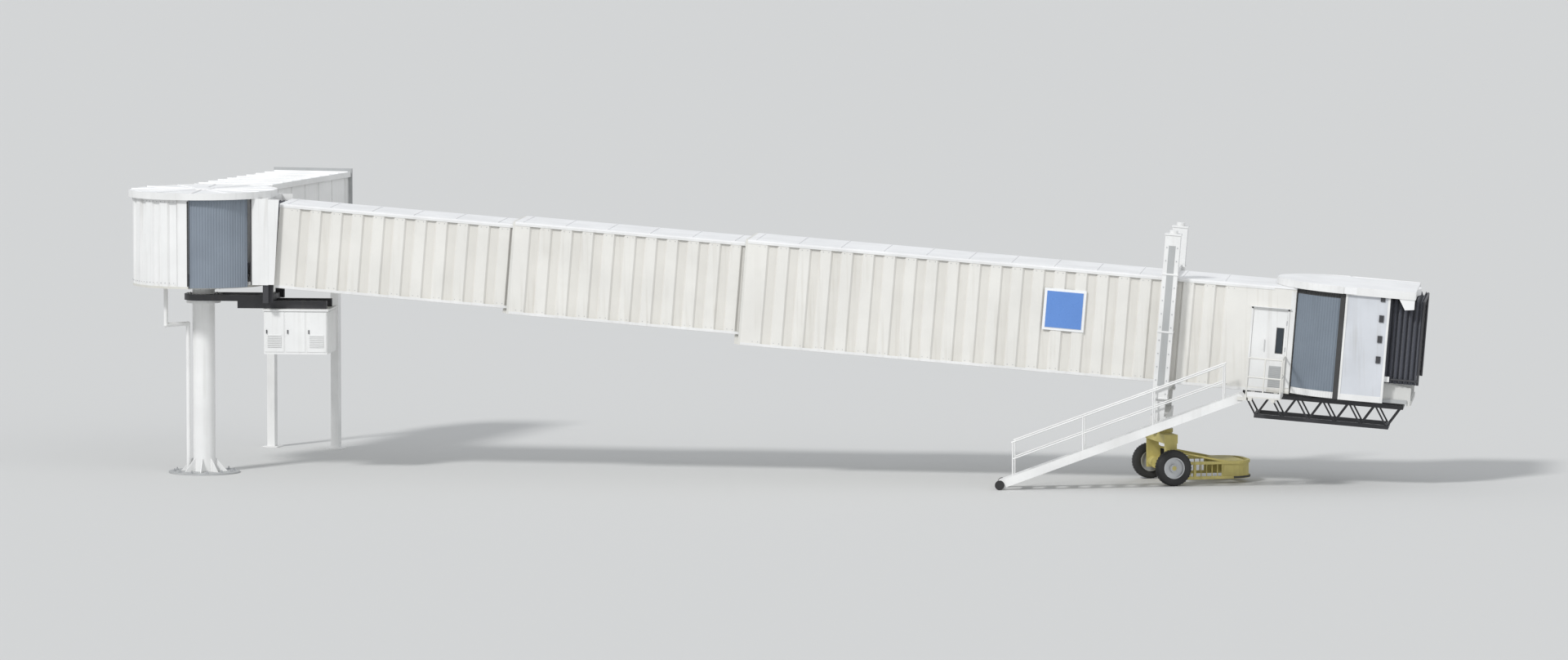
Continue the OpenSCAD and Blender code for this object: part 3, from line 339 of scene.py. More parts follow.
# Black rubber for the seals, also used for the painted shadow bar at the top of each cab curtain
SEAL_AND_SHADOW = Finish("seal_rubber_and_shadow", "bumper_rubber", (0.05, 0.05, 0.05), 0.7, mottle=0.15)
BUMPER = Finish("bumper_rubber", "bumper_rubber", (0.72, 0.72, 0.70), 0.65, streak=0.3)
GLASS = Finish("window_glass", "window_glass", (0.35, 0.42, 0.46), 0.12, alpha=0.45, mottle=0.03, bump=0.0)
DARK_GLASS = Finish("dark_window_glass", "window_glass", (0.03, 0.04, 0.05), 0.12, mottle=0.03, bump=0.0)
FLOORING = Finish("ribbed_flooring", "grey_paint", (0.16, 0.16, 0.17), 0.6, mottle=0.12)


def cream(name: str, half: float) -> Finish:
    """Returns the cream wall paint of a tunnel whose outer half width is given, with painted shade in its rib
    valleys.
    """
    return Finish(name, "cream_paint", (0.76, 0.747, 0.708), 0.42, streak=0.34, mottle=0.05,
                  grime_and_shade=(0.42, 0.38, 0.31), valley=(half - 0.05, half - 0.004), valley_shade=0.17)


def across(side: int, near: float, far: float) -> tuple[float, float]:
    """Returns two distances from a frame's middle as Y values on the side -1 or 1, the lower first."""
    return (near, far) if side > 0 else (-far, -near)


def bars_round(left: float, right: float, low: float, high: float,
               width: float) -> list[tuple[float, float, float, float]]:
    """Returns the four bars round an opening.

    Args:
        left: Where the opening starts.
        right: Where it ends.
        low: Its bottom.
        high: Its top.
        width: The bars' width.

    Returns:
        Each bar as its start, end, bottom and top.
    """
    return [(left - width, left, low - width, high + width),
            (right, right + width, low - width, high + width),
            (left, right, low - width, low), (left, right, high, high + width)]


class Maker:
    """Collects boxes, rods and prisms into one mesh, in one of the bridge's own frames."""

    def __init__(self, name: str, place: Matrix = WORLD) -> None:
        """Starts an empty piece.

        Args:
            name: The piece's name.
            place: The frame that its points are given in.
        """
        self.name = name
        self.place = place
        self.mesh = bmesh.new()

    def box(self, low: Point, high: Point) -> "Maker":
        """Adds a box.

        Args:
            low: Its lowest corner.
            high: Its highest corner.

        Returns:
            The maker itself.
        """
        made = bmesh.ops.create_cube(self.mesh, size=1.0)["verts"]
        centre = (Vector(low) + Vector(high)) / 2
        size = Vector(high) - Vector(low)
        for vertex in made:
            vertex.co = Vector([c * s for c, s in zip(vertex.co, size)]) + centre
        return self

    def pair(self, low: Point, high: Point) -> "Maker":
        """Adds a box and its mirror image on the frame's other side.

        Args:
            low: The box's lowest corner, with Y as a distance from the frame's middle.
            high: Its highest corner, given the same way.

        Returns:
            The maker itself.
        """
        for side in SIDES:
            near, far = across(side, low[1], high[1])
            self.box((low[0], near, low[2]), (high[0], far, high[2]))
        return self

    def rod(self, radius: float, start: Point, end: Point, sides: int = 16) -> "Maker":
        """Adds a round rod.

        Args:
            radius: The rod's radius.
            start: The middle of its one end.
            end: The middle of the other.
            sides: How many flat sides it is made of.

        Returns:
            The maker itself.
        """
        axis = Vector(end) - Vector(start)
        turn = Vector((0, 0, 1)).rotation_difference(axis).to_matrix().to_4x4()
        matrix = Matrix.Translation((Vector(start) + Vector(end)) / 2) @ turn
        bmesh.ops.create_cone(self.mesh, cap_ends=True, segments=sides, radius1=radius, radius2=radius,
                              depth=axis.length, matrix=matrix)
        return self

    def tube(self, radius: float, points: list[Point], sides: int = 12) -> "Maker":
        """Adds a bent tube, mitred at each bend.

        Args:
            radius: The tube's radius.
            points: The points that its middle runs through.
            sides: How many flat sides it is made of.

        Returns:
            The maker itself.
        """
        path = [Vector(p) for p in points]
        rings = []
        for i, point in enumerate(path):
            before = (point - path[max(i - 1, 0)]).normalized()
            after = (path[min(i + 1, len(path) - 1)] - point).normalized()
            along = (before + after).normalized()
            side = along.cross(NEARLY_UP).normalized()
            up = side.cross(along).normalized()
            rings.append([self.mesh.verts.new(point + radius * (math.cos(a) * side + math.sin(a) * up))
                          for a in (2 * math.pi * k / sides for k in range(sides))])
        for first, second in zip(rings, rings[1:]):
            for k in range(sides):
                self.mesh.faces.new((first[k], first[(k + 1) % sides], second[(k + 1) % sides], second[k]))
        self.mesh.faces.new(list(reversed(rings[0])))
        self.mesh.faces.new(rings[-1])
        return self

    def prism(self, outline: list[tuple[float, float]], start: float, end: float, axis: int = 2) -> "Maker":
        """Adds a closed outline drawn out along an axis.

        Args:
            outline: The corners, on the other two axes in X, Y, Z order.
            start: Where the prism starts on the axis.
            end: Where it ends.
            axis: 0, 1 or 2 for X, Y or Z.

        Returns:
            The maker itself.
        """
        def at(pair: tuple[float, float], value: float) -> Point:
            """Puts the numbers in X, Y, Z order.

            Args:
                pair: The numbers on the other two axes.
                value: The number on the prism's axis.

            Returns:
                The point.
            """
            point = list(pair)
            point.insert(axis, value)
            return tuple(point)

        low = [self.mesh.verts.new(at(p, start)) for p in outline]
        high = [self.mesh.verts.new(at(p, end)) for p in outline]
        count = len(outline)
        for i in range(count):
            self.mesh.faces.new((low[i], low[(i + 1) % count], high[(i + 1) % count], high[i]))
        self.mesh.faces.new(list(reversed(low)))
        self.mesh.faces.new(high)
        return self

    def turned(self, section: list[tuple[float, float]], start: float = 0.0, end: float = 360.0,
               steps: int = 72) -> "Maker":
        """Adds a closed section turned about the frame's Z axis, whole or between two angles.

        Args:
            section: The section's corners as (radius, z).
            start: The first angle in degrees.
            end: The last angle in degrees.
            steps: How many flat stretches the turn is made of.

        Returns:
            The maker itself.
        """
        whole = abs(end - start) >= 360
        turns = range(steps if whole else steps + 1)
        angles = [math.radians(start + (end - start) * i / steps) for i in turns]
        rows = [[self.mesh.verts.new((r * math.cos(a), r * math.sin(a), z)) for r, z in section]
                for a in angles]
        pairs = list(zip(rows, rows[1:])) + ([(rows[-1], rows[0])] if whole else [])
        count = len(section)
        for first, second in pairs:
            for k in range(count):
                after = (k + 1) % count
                self.mesh.faces.new((first[k], second[k], second[after], first[after]))
        if not whole:
            self.mesh.faces.new(rows[0])
            self.mesh.faces.new(list(reversed(rows[-1])))
        return self

    def ring(self, outer: float, inner: float, low: float, high: float, start: float = 0.0,
             end: float = 360.0, steps: int = 72) -> "Maker":
        """Adds a flat-sided round band about the frame's Z axis, whole or between two angles in degrees."""
        return self.turned([(outer, low), (outer, high), (inner, high), (inner, low)], start, end, steps)

    def raw(self, look: Look = Look.FLAT) -> bpy.types.Object:
        """Turns the shape into an object.

        Args:
            look: Flat or smooth faces.

        Returns:
            The object in its own frame, not yet placed.
        """
        bmesh.ops.recalc_face_normals(self.mesh, faces=self.mesh.faces)
        data = bpy.data.meshes.new(self.name)
        self.mesh.to_mesh(data)
        self.mesh.free()
        for face in data.polygons:
            face.use_smooth = look is Look.SMOOTH
        made = bpy.data.objects.new(self.name, data)
        bpy.context.scene.collection.objects.link(made)
        return made

    def done(self, finish: Finish, body: str, bevel: float = 0.0, look: Look = Look.FLAT,
             replaces: tuple[str, ...] = ()) -> bpy.types.Object:
        """Places the piece, paints it and lets it ride.

        Args:
            finish: The piece's finish.
            body: The body that it rides on.
            bevel: The width that its edges are rounded by.
            look: Flat or smooth faces.
            replaces: The CAD nodes that it stands for.

        Returns:
            The finished piece.
        """
        made = self.raw(look)
        if bevel:
            edge = made.modifiers.new("edges", "BEVEL")
            edge.width = bevel
            edge.segments = 2
            edge.limit_method = "ANGLE"
        made.data.transform(self.place)
        return dress(made, finish, body, replaces)


def hex_head(radius: float, start: Point, end: Point) -> Maker:
    """Returns the hexagon head of a bolt, nut or screw between two points on its axis."""
    return Maker("hex_head").rod(radius, start, end, HEXAGON)


def dress(piece: bpy.types.Object, finish: Finish, body: str | None,
          replaces: tuple[str, ...] = ()) -> bpy.types.Object:
    """Paints a piece and lets it ride on a body.

    Args:
        piece: The piece, in place.
        finish: Its finish.
        body: The body that it rides on, or None to leave it unattached.
        replaces: The CAD nodes that it stands for.

    Returns:
        The piece.
    """
    piece.data.materials.clear()
    piece.data.materials.append(finish.material())
    if body:
        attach(piece, body)
    if replaces:
        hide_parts(*replaces)
    return piece


def paint(node: str, finish: Finish) -> None:
    """Gives a CAD node its finish.

    Args:
        node: The node's name.
        finish: Its finish.
    """
    data = frame["nodes"][node].data
    data.materials.clear()
    data.materials.append(finish.material())


@dataclass
class Repeat:
    """Repeats one small shape along a row or round an arc with Geometry Nodes."""

    layout: Layout
    count: int
    start: Point = (0.0, 0.0, 0.0)
    step: Point = (1.0, 0.0, 0.0)
    radius: float = 1.0
    first_angle: float = 0.0
    angle_step: float = 0.1

    def _tree(self) -> bpy.types.NodeTree:
        """Builds the layout's tree, once, and returns it."""
        name = f"repeat_{self.layout.value}"
        found = bpy.data.node_groups.get(name)
        if found:
            return found
        tree = bpy.data.node_groups.new(name, "GeometryNodeTree")
        face = tree.interface
        face.new_socket("Geometry", in_out="OUTPUT", socket_type="NodeSocketGeometry")
        for label, kind in (("Part", "Object"), ("Count", "Int"), ("Start", "Vector"), ("Step", "Vector"),
                            ("Radius", "Float"), ("First angle", "Float"), ("Angle step", "Float"),
                            ("Finish", "Material")):
            face.new_socket(label, in_out="INPUT", socket_type=f"NodeSocket{kind}")
        nodes, links = tree.nodes, tree.links
        given = nodes.new("NodeGroupInput").outputs
        line = nodes.new("GeometryNodeMeshLine")
        links.new(given["Count"], line.inputs["Count"])
        links.new(given["Start"], line.inputs["Start Location"])
        put = nodes.new("GeometryNodeInstanceOnPoints")
        part = nodes.new("GeometryNodeObjectInfo")
        links.new(given["Part"], part.inputs["Object"])
        links.new(part.outputs["Geometry"], put.inputs["Instance"])
        if self.layout is Layout.ROW:
            links.new(given["Step"], line.inputs["Offset"])
            links.new(line.outputs["Mesh"], put.inputs["Points"])
        else:
            line.inputs["Offset"].default_value = (0, 0, 0)
            angle = nodes.new("ShaderNodeMath")
            angle.operation = "MULTIPLY_ADD"
            links.new(nodes.new("GeometryNodeInputIndex").outputs[0], angle.inputs[0])
            links.new(given["Angle step"], angle.inputs[1])
            links.new(given["First angle"], angle.inputs[2])
            spot = nodes.new("ShaderNodeCombineXYZ")
            for axis, operation in (("X", "COSINE"), ("Y", "SINE")):
                wave = nodes.new("ShaderNodeMath")
                wave.operation = operation
                links.new(angle.outputs[0], wave.inputs[0])
                reach = nodes.new("ShaderNodeMath")
                reach.operation = "MULTIPLY"
                links.new(wave.outputs[0], reach.inputs[0])
                links.new(given["Radius"], reach.inputs[1])
                links.new(reach.outputs[0], spot.inputs[axis])
            move = nodes.new("GeometryNodeSetPosition")
            links.new(line.outputs["Mesh"], move.inputs["Geometry"])
            links.new(spot.outputs[0], move.inputs["Offset"])
            links.new(move.outputs[0], put.inputs["Points"])
            turn = nodes.new("ShaderNodeCombineXYZ")
            links.new(angle.outputs[0], turn.inputs["Z"])
            links.new(turn.outputs[0], put.inputs["Rotation"])
        real = nodes.new("GeometryNodeRealizeInstances")
        links.new(put.outputs[0], real.inputs[0])
        coat = nodes.new("GeometryNodeSetMaterial")
        links.new(real.outputs[0], coat.inputs["Geometry"])
        links.new(given["Finish"], coat.inputs["Material"])
        links.new(coat.outputs[0], nodes.new("NodeGroupOutput").inputs[0])
        return tree

    def mesh(self, part: bpy.types.Object, finish: Finish) -> bpy.types.Mesh:
        """Makes the repeated shape as one plain mesh.

        Args:
            part: The small shape, at its own origin.
            finish: The finish of all the copies.

        Returns:
            The mesh.
        """
        tree = self._tree()
        host = bpy.data.objects.new("repeat_host", bpy.data.meshes.new("repeat_host"))
        bpy.context.scene.collection.objects.link(host)
        live = host.modifiers.new("repeat", "NODES")
        live.node_group = tree
        values = {"Part": part, "Count": self.count, "Start": self.start, "Step": self.step,
                  "Radius": self.radius, "First angle": self.first_angle, "Angle step": self.angle_step,
                  "Finish": finish.material()}
        for item in tree.interface.items_tree:
            if item.item_type == "SOCKET" and item.in_out == "INPUT":
                live[item.identifier] = values[item.name]
        graph = bpy.context.evaluated_depsgraph_get()
        result = bpy.data.meshes.new_from_object(host.evaluated_get(graph))
        host.modifiers.remove(live)
        bpy.data.objects.remove(host)
        return result


def repeated(name: str, part: Maker, rows: list[Repeat], finish: Finish, body: str | None,
             place: Matrix = WORLD, replaces: tuple[str, ...] = ()) -> bpy.types.Object:
    """Repeats one shape in several rows and joins them into one piece.

    Args:
        name: The piece's name.
        part: The small shape.
        rows: Where the copies go.
        finish: The finish.
        body: The body that it rides on, or None.
        place: The frame that the rows are given in.
        replaces: The CAD nodes that it stands for.

    Returns:
        The piece.
    """
    seed = part.raw()
    joined = bmesh.new()
    for row in rows:
        made = row.mesh(seed, finish)
        joined.from_mesh(made)
        bpy.data.meshes.remove(made)
    bpy.data.objects.remove(seed)
    data = bpy.data.meshes.new(name)
    joined.to_mesh(data)
    joined.free()
    data.transform(place)
    piece = bpy.data.objects.new(name, data)
    bpy.context.scene.collection.objects.link(piece)
    return dress(piece, finish, body, replaces)


def row(start: Point, step: Point, count: int) -> Repeat:
    """Returns a straight row of copies."""
    return Repeat(Layout.ROW, count, start=start, step=step)


def rows_both_sides(start: Point, step: Point, count: int) -> list[Repeat]:
    """Returns a straight row on each side, with the start's Y as a distance from the frame's middle."""
    return [row((start[0], side * start[1], start[2]), step, count) for side in SIDES]


def arc(centre: Point, radius: float, start: float, end: float, count: int) -> Repeat:
    """Returns copies round an arc between two angles in degrees, the first and last on its ends."""
    return Repeat(Layout.ARC, count, start=centre, radius=radius, first_angle=math.radians(start),
                  angle_step=math.radians((end - start) / max(count - 1, 1)))


def circle(centre: Point, radius: float, count: int, first: float = 0.0) -> Repeat:
    """Returns copies evenly round a whole circle, the first one at an angle in degrees."""
    return arc(centre, radius, first, first + 360 * (count - 1) / count, count)


@dataclass
class Curtain:
    """A curtain of upright slats round a turning axis, pulled out between two bodies."""

    name: str
    node: str | None
    bodies: tuple[str, str]
    place: Matrix
    radius: float
    angles: tuple[float, float]
    low: float
    high: float
    pitch: float = 0.075
    back: float = -0.006
    lap: float = 0.002
    ridge: float = 0.013
    ridge_share: float = 0.45
    finish: Finish = SLATS

    def build(self) -> bpy.types.Object:
        """Makes the slats, in place.

        Returns:
            The curtain.
        """
        first, last = self.angles
        span = abs(last - first)
        count = max(3, round(math.radians(span) * self.radius / self.pitch))
        width = math.radians(span) * self.radius / count
        half = width / 2
        ridge_half = half * self.ridge_share
        profile = [(self.back, -half), (self.lap, -half), (self.ridge, -ridge_half), (self.ridge, ridge_half),
                   (self.lap, half), (self.back, half)]
        slat = Maker("slat").prism(profile, self.low, self.high)
        edge = (last - first) / count / 2
        piece = repeated(self.name, slat, [arc((0, 0, 0), self.radius, first + edge, last - edge, count)],
                         self.finish, None, self.place, replaces=(self.node,) if self.node else ())
        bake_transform(piece)
        return piece


def pleated(name: str, place: Matrix, outline: list[tuple[float, float]], stations: list[tuple[float, float]],
            thickness: float) -> bpy.types.Object:
    """Makes a folded sheet: an open outline across the frame's X axis, drawn in and out at each fold.

    Args:
        name: The piece's name.
        place: The frame.
        outline: The sheet's outer line as (y, z), with folds running in from it.
        stations: (x, depth) of each fold line, with the depth measured inwards.
        thickness: The cloth's thickness.

    Returns:
        The sheet as an object, placed, with its thickness.
    """
    centre = sum((Vector(p) for p in outline), Vector((0, 0))) / len(outline)
    mesh = bmesh.new()
    grid = []
    for x, depth in stations:
        line = []
        for i, (y, z) in enumerate(outline):
            before = Vector(outline[max(i - 1, 0)])
            after = Vector(outline[min(i + 1, len(outline) - 1)])
            along = (after - before).normalized()
            normal = Vector((-along.y, along.x))
            if normal.dot(centre - Vector((y, z))) < 0:
                normal = -normal
            point = Vector((y, z)) + normal * depth
            line.append(mesh.verts.new((x, point.x, point.y)))
        grid.append(line)
    for first, second in zip(grid, grid[1:]):
        for i in range(len(outline) - 1):
            mesh.faces.new((first[i], first[i + 1], second[i + 1], second[i]))
    bmesh.ops.recalc_face_normals(mesh, faces=mesh.faces)
    data = bpy.data.meshes.new(name)
    mesh.to_mesh(data)
    mesh.free()
    made = bpy.data.objects.new(name, data)
    bpy.context.scene.collection.objects.link(made)
    solid = made.modifiers.new("cloth", "SOLIDIFY")
    solid.thickness = thickness
    solid.offset = 0
    graph = bpy.context.evaluated_depsgraph_get()
    plain = bpy.data.meshes.new_from_object(made.evaluated_get(graph))
    made.modifiers.remove(solid)
    made.data = plain
    made.data.transform(place)
    return made


def folds(start: float, end: float, count: int, depth: float) -> list[tuple[float, float]]:
    """Places the fold lines of a pleated sheet, rounded at each crest and root.

    Args:
        start: Where the folds start along X.
        end: Where they end.
        count: How many there are.
        depth: How deep each one is.

    Returns:
        Each fold line as (x, depth).
    """
    pitch = (end - start) / count
    lines = [(start + (i + part) * pitch, share * depth) for i in range(count) for part, share in FOLD_SHAPE]
    return lines + [(end, 0.0)]


def arch(half: list[tuple[float, float]]) -> list[tuple[float, float]]:
    """Returns an arch: its near half as (y, z) from the foot to the middle, then that half's mirror image."""
    return half + [(-y, z) for y, z in reversed(half[:-1])]


@dataclass
class Rotunda:
    """The fixed round house on its column, where the tunnels turn."""

    radius: float = 1.88
    floor_z: float = 5.2
    ceiling_z: float = 7.44
    roof_z: float = 7.58
    eave: float = 0.1
    sheet: float = 0.012
    flashing_lap: float = 0.02
    seam_start: float = 0.25
    seam_lap: float = 0.06
    seam_height: float = 0.03
    seams: int = 12
    cap_radius: float = 0.3
    cap_height: float = 0.045
    plate_top: float = 0.04
    anchor_circle: float = 0.8
    anchors: int = 12
    first_anchor: float = 15
    head_z: float = 4.96
    head_circle: float = 0.56
    head_bolts: int = 24
    wall_screws: int = 36
    wall_angles: tuple[float, float] = (115, 255)
    curtain_radius: float = 1.805
    curtain_low: float = 5.07
    curtain_high: float = 7.43
    near_angles: tuple[float, float] = (267.4, 320.2)
    far_angles: tuple[float, float] = (39.8, 43.6)

    def build(self) -> None:
        """Dresses the rotunda and adds its trims, seams, bolts and curtains."""
        for node in ("rotunda_walls", "rotunda_column", "column_pipe"):
            paint(node, WHITE)
        paint("rotunda_roof", ROOF)
        paint("rotunda_floor", SILL)
        paint("base_plate", GREY)
        self._roof()
        self._bolts()
        self._post()
        for name, ends, bodies in (("near", self.near_angles, ("fixed", "swing")),
                                   ("far", self.far_angles, ("swing", "fixed"))):
            Curtain(f"rotunda_{name}_slats", f"rotunda_{name}_curtain", bodies, WORLD, self.curtain_radius,
                    ends, self.curtain_low, self.curtain_high).build()

    def _roof(self) -> None:
        """Adds the roof's flashing, its seams and the cap in the middle."""
        edge = self.radius + self.eave
        trim = Maker("rotunda_roof_flashing")
        lap = self.flashing_lap
        trim.ring(edge + self.sheet, edge, self.ceiling_z - lap, self.roof_z + lap)
        trim.done(STEEL_WHITE, "fixed")
        seam = Maker("seam").box((self.seam_start, -self.sheet, 0),
                                 (self.radius + self.seam_lap, self.sheet, self.seam_height))
        repeated("rotunda_roof_seams", seam, [circle((0, 0, self.roof_z), 0.0, self.seams)], ROOF, "fixed")
        cap = Maker("rotunda_roof_cap")
        cap.rod(self.cap_radius, (0, 0, self.roof_z), (0, 0, self.roof_z + self.cap_height), sides=32)
        cap.done(ROOF, "fixed", 0.01)

    def _bolts(self) -> None:
        """Adds the anchor nuts on the foot plate and the bolts in the column's head."""
        nut_radius, nut_height, stud_radius, stud_low, stud_high = 0.034, 0.03, 0.017, 0.02, 0.075
        nut = hex_head(nut_radius, (0, 0, 0), (0, 0, nut_height))
        nut.rod(stud_radius, (0, 0, stud_low), (0, 0, stud_high), sides=10)
        places = circle((0, 0, self.plate_top), self.anchor_circle, self.anchors, self.first_anchor)
        repeated("anchor_nuts", nut, [places], GALVANISED, "fixed")
        bolt_radius = bolt_height = 0.018
        bolt = hex_head(bolt_radius, (0, 0, -bolt_height), (0, 0, 0))
        repeated("column_head_bolts", bolt, [circle((0, 0, self.head_z), self.head_circle, self.head_bolts)],
                 GALVANISED, "fixed")

    def _post(self) -> None:
        """Adds the curtain's head track, the seal on its post and the wall's screws."""
        track = Maker("curtain_head_track")
        track.ring(self.radius + 0.005, self.radius - 0.11, self.ceiling_z - 0.015, self.ceiling_z - 0.001,
                   start=267.5, end=404, steps=96)
        track.done(STEEL_WHITE, "fixed")
        post = Maker("curtain_post_seal")
        post.ring(self.radius + 0.008, self.radius - 0.06, self.floor_z - 0.08, self.ceiling_z - 0.06,
                  start=266.4, end=267.3, steps=3)
        post.done(SEAL_AND_SHADOW, "fixed")
        screw_radius, screw_height, sunk = 0.012, 0.008, 0.08
        screw = hex_head(screw_radius, (0, 0, 0), (screw_height, 0, 0))
        rows = [arc((0, 0, z), self.radius + 0.002, *self.wall_angles, self.wall_screws)
                for z in (self.floor_z, self.ceiling_z - sunk)]
        repeated("rotunda_wall_screws", screw, rows, GALVANISED, "fixed")


@dataclass
class Corridor:
    """The fixed link from the rotunda to the building."""

    half: float = 1.05
    start: float = 1.56
    end: float = 8.14
    low: float = 5.05
    floor_z: float = 5.2
    high: float = 7.44
    roof: float = 7.58
    strips: int = 7
    strip_margin: float = 0.25
    seams: int = 9
    seam_start: float = 2.4
    seam_gap: float = 0.7
    gutter_start: float = 2.2
    skirt_start: float = 1.9
    flange_bolts: int = 6
    flange_bolt_low: float = 5.1
    flange_bolt_gap: float = 0.486

    def build(self) -> None:
        """Dresses the corridor and adds cover strips, seams, gutters and bolts."""
        paint("corridor_floor", SILL)
        paint("corridor_walls", WHITE)
        paint("corridor_roof", ROOF)
        paint("corridor_legs", STEEL_WHITE)
        paint("corridor_flange", GREY)
        strip_half, strip_depth = 0.035, 0.012
        strip = Maker("strip").box((-strip_half, -strip_depth, self.floor_z),
                                   (strip_half, strip_depth, self.high))
        gap = (self.end - self.start - 2 * self.strip_margin) / (self.strips - 1)
        rows = rows_both_sides((self.start + self.strip_margin, self.half + strip_depth / 2, 0), (gap, 0, 0),
                               self.strips)
        repeated("corridor_cover_strips", strip, rows, STEEL_WHITE, "fixed", CORRIDOR)
        seam_half, seam_lap, seam_height = 0.012, 0.03, 0.03
        seam = Maker("seam").box((-seam_half, -self.half - seam_lap, 0),
                                 (seam_half, self.half + seam_lap, seam_height))
        rows = [row((self.seam_start, 0, self.roof), (self.seam_gap, 0, 0), self.seams)]
        repeated("corridor_roof_seams", seam, rows, ROOF, "fixed", CORRIDOR)
        self._gutters()
        bolt_radius, bolt_height = 0.014, 0.02
        bolt = hex_head(bolt_radius, (-bolt_height, 0, 0), (0, 0, 0))
        rows = rows_both_sides((self.end, self.half + 0.05, self.flange_bolt_low),
                               (0, 0, self.flange_bolt_gap), self.flange_bolts)
        repeated("corridor_flange_bolts", bolt, rows, GALVANISED, "fixed", CORRIDOR)
        floor = Maker("corridor_flooring", CORRIDOR)
        floor_start, floor_half, floor_lap, covering = 1.95, 0.98, 0.05, 0.004
        floor.box((floor_start, -floor_half, self.floor_z),
                  (self.end + floor_lap, floor_half, self.floor_z + covering))
        floor.done(FLOORING, "fixed")

    def _gutters(self) -> None:
        """Hangs a gutter under the roof's edge and a skirt along the floor's edge, on both sides."""
        gutter = Maker("corridor_gutters", CORRIDOR)
        gutter.pair((self.gutter_start, self.half + 0.04, self.roof - 0.13),
                    (self.end, self.half + 0.075, self.roof + 0.015))
        gutter.pair((self.skirt_start, self.half, self.low), (self.end, self.half + 0.02, self.low + 0.16))
        gutter.done(STEEL_WHITE, "fixed", 0.006)


@dataclass
class Swing:
    """What turns on the column: the frame, the entrance, its bellows and the hung cabinet."""

    cabinet_low: Point = (1.75, -0.75, 3.25)
    cabinet_high: Point = (3.45, 0.75, 4.45)
    cabinet_bays: int = 3
    seal_low: Point = (1.47, 1.165, 5.12)
    seal_high: Point = (1.5, 1.2, 7.42)
    cheek_y: tuple[float, float] = (1.152, 1.174)
    cheek_foot: float = 5.13
    cheek_top: float = 7.4
    cheek_start: float = 1.93
    cheek_foot_end: float = 2.1
    cheek_top_end: float = 2.24
    ring_z: float = 4.8003
    ring_circle: float = 0.45
    ring_bolts: int = 24
    folds_start: float = 1.941
    folds_end: float = 2.064
    folds_half: float = 0.985
    folds_foot: float = 5.19
    folds_top: float = 7.25

    def build(self) -> None:
        """Dresses the swing frame and adds the cabinet's doors, the bellows, seals, cheeks and bolts."""
        paint("swing_frame", DARK)
        paint("entrance_frame", WHITE)
        paint("equipment_cabinet", WHITE)
        self._cabinet()
        self._bellows()
        seal = Maker("entrance_seals").pair(self.seal_low, self.seal_high)
        seal.done(SEAL_AND_SHADOW, "swing")
        cheek = Maker("entrance_cheeks")
        outline = [(self.cheek_start, self.cheek_foot), (self.cheek_foot_end, self.cheek_foot),
                   (self.cheek_top_end, self.cheek_top), (self.cheek_start, self.cheek_top)]
        for side in SIDES:
            cheek.prism(outline, *across(side, *self.cheek_y), axis=1)
        cheek.done(WHITE, "swing", 0.004)
        bolt_radius = bolt_height = 0.02
        bolt = hex_head(bolt_radius, (0, 0, 0), (0, 0, bolt_height))
        repeated("swing_ring_bolts", bolt, [circle((0, 0, self.ring_z), self.ring_circle, self.ring_bolts)],
                 GALVANISED, "swing")

    def _cabinet(self) -> None:
        """Adds doors, louvres, latches and a rain hood to the cabinet."""
        low, high = self.cabinet_low, self.cabinet_high
        sheet, joint = 0.014, 0.02
        foot, head = low[2] + 0.06, high[2] - 0.08
        width = (high[0] - low[0]) / self.cabinet_bays
        door = Maker("cabinet_doors")
        for i in range(self.cabinet_bays):
            for y in (low[1] - sheet, high[1]):
                start, end = low[0] + i * width, low[0] + (i + 1) * width
                door.box((start + joint, y, foot), (end - joint, y + sheet, head))
        door.box((high[0], low[1] + 0.05, foot), (high[0] + sheet, high[1] - 0.05, head))
        door.done(WHITE, "swing", 0.004)
        hood = Maker("cabinet_rain_hood")
        hood.box((low[0] - 0.03, low[1] - 0.04, high[2] - 0.05),
                 (high[0] + 0.04, high[1] + 0.04, high[2] - 0.001))
        hood.done(STEEL_WHITE, "swing", 0.006)
        blade = [(-0.02, 0.0), (-0.02, -0.012), (0.0, 0.016), (0.0, 0.02)]
        blade_half, blade_gap, blades = 0.19, 0.034, 10
        louvre = Maker("louvre").prism(blade, -blade_half, blade_half, axis=0)
        rows = [row((low[0] + (i + 0.5) * width, low[1] - 0.012, low[2] + 0.2), (0, 0, blade_gap), blades)
                for i in (0, self.cabinet_bays - 1)]
        repeated("cabinet_louvres", louvre, rows, STEEL_WHITE, "swing")
        latch = Maker("latch").box((-0.012, -0.028, -0.05), (0.012, 0.0, 0.05))
        rows = [row((low[0] + 0.08, low[1] - 0.012, low[2] + 0.6), (width, 0, 0), self.cabinet_bays)]
        repeated("cabinet_latches", latch, rows, DARK, "swing")

    def _bellows(self) -> None:
        """Folds the bellows between the entrance frame and the first tunnel, leaning with the tunnel."""
        half, top = self.folds_half, self.folds_top
        outline = arch([(-half, self.folds_foot), (-half, 6.4), (-half, top - 0.15),
                        (-half + 0.025, top - 0.05), (-half + 0.085, top), (0.0, top)])
        lines = folds(self.folds_start, self.folds_end, count=3, depth=0.05)
        piece = pleated("entrance_folds", WORLD, outline, lines, thickness=0.006)
        lean = math.tan(SLOPE)
        for vertex in piece.data.vertices:
            share = (vertex.co.x - self.folds_start) / (self.folds_end - self.folds_start)
            vertex.co.x += share * (vertex.co.z - HINGE.z) * lean
        dress(piece, CLOTH, None, ("entrance_bellows",))
        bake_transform(piece)


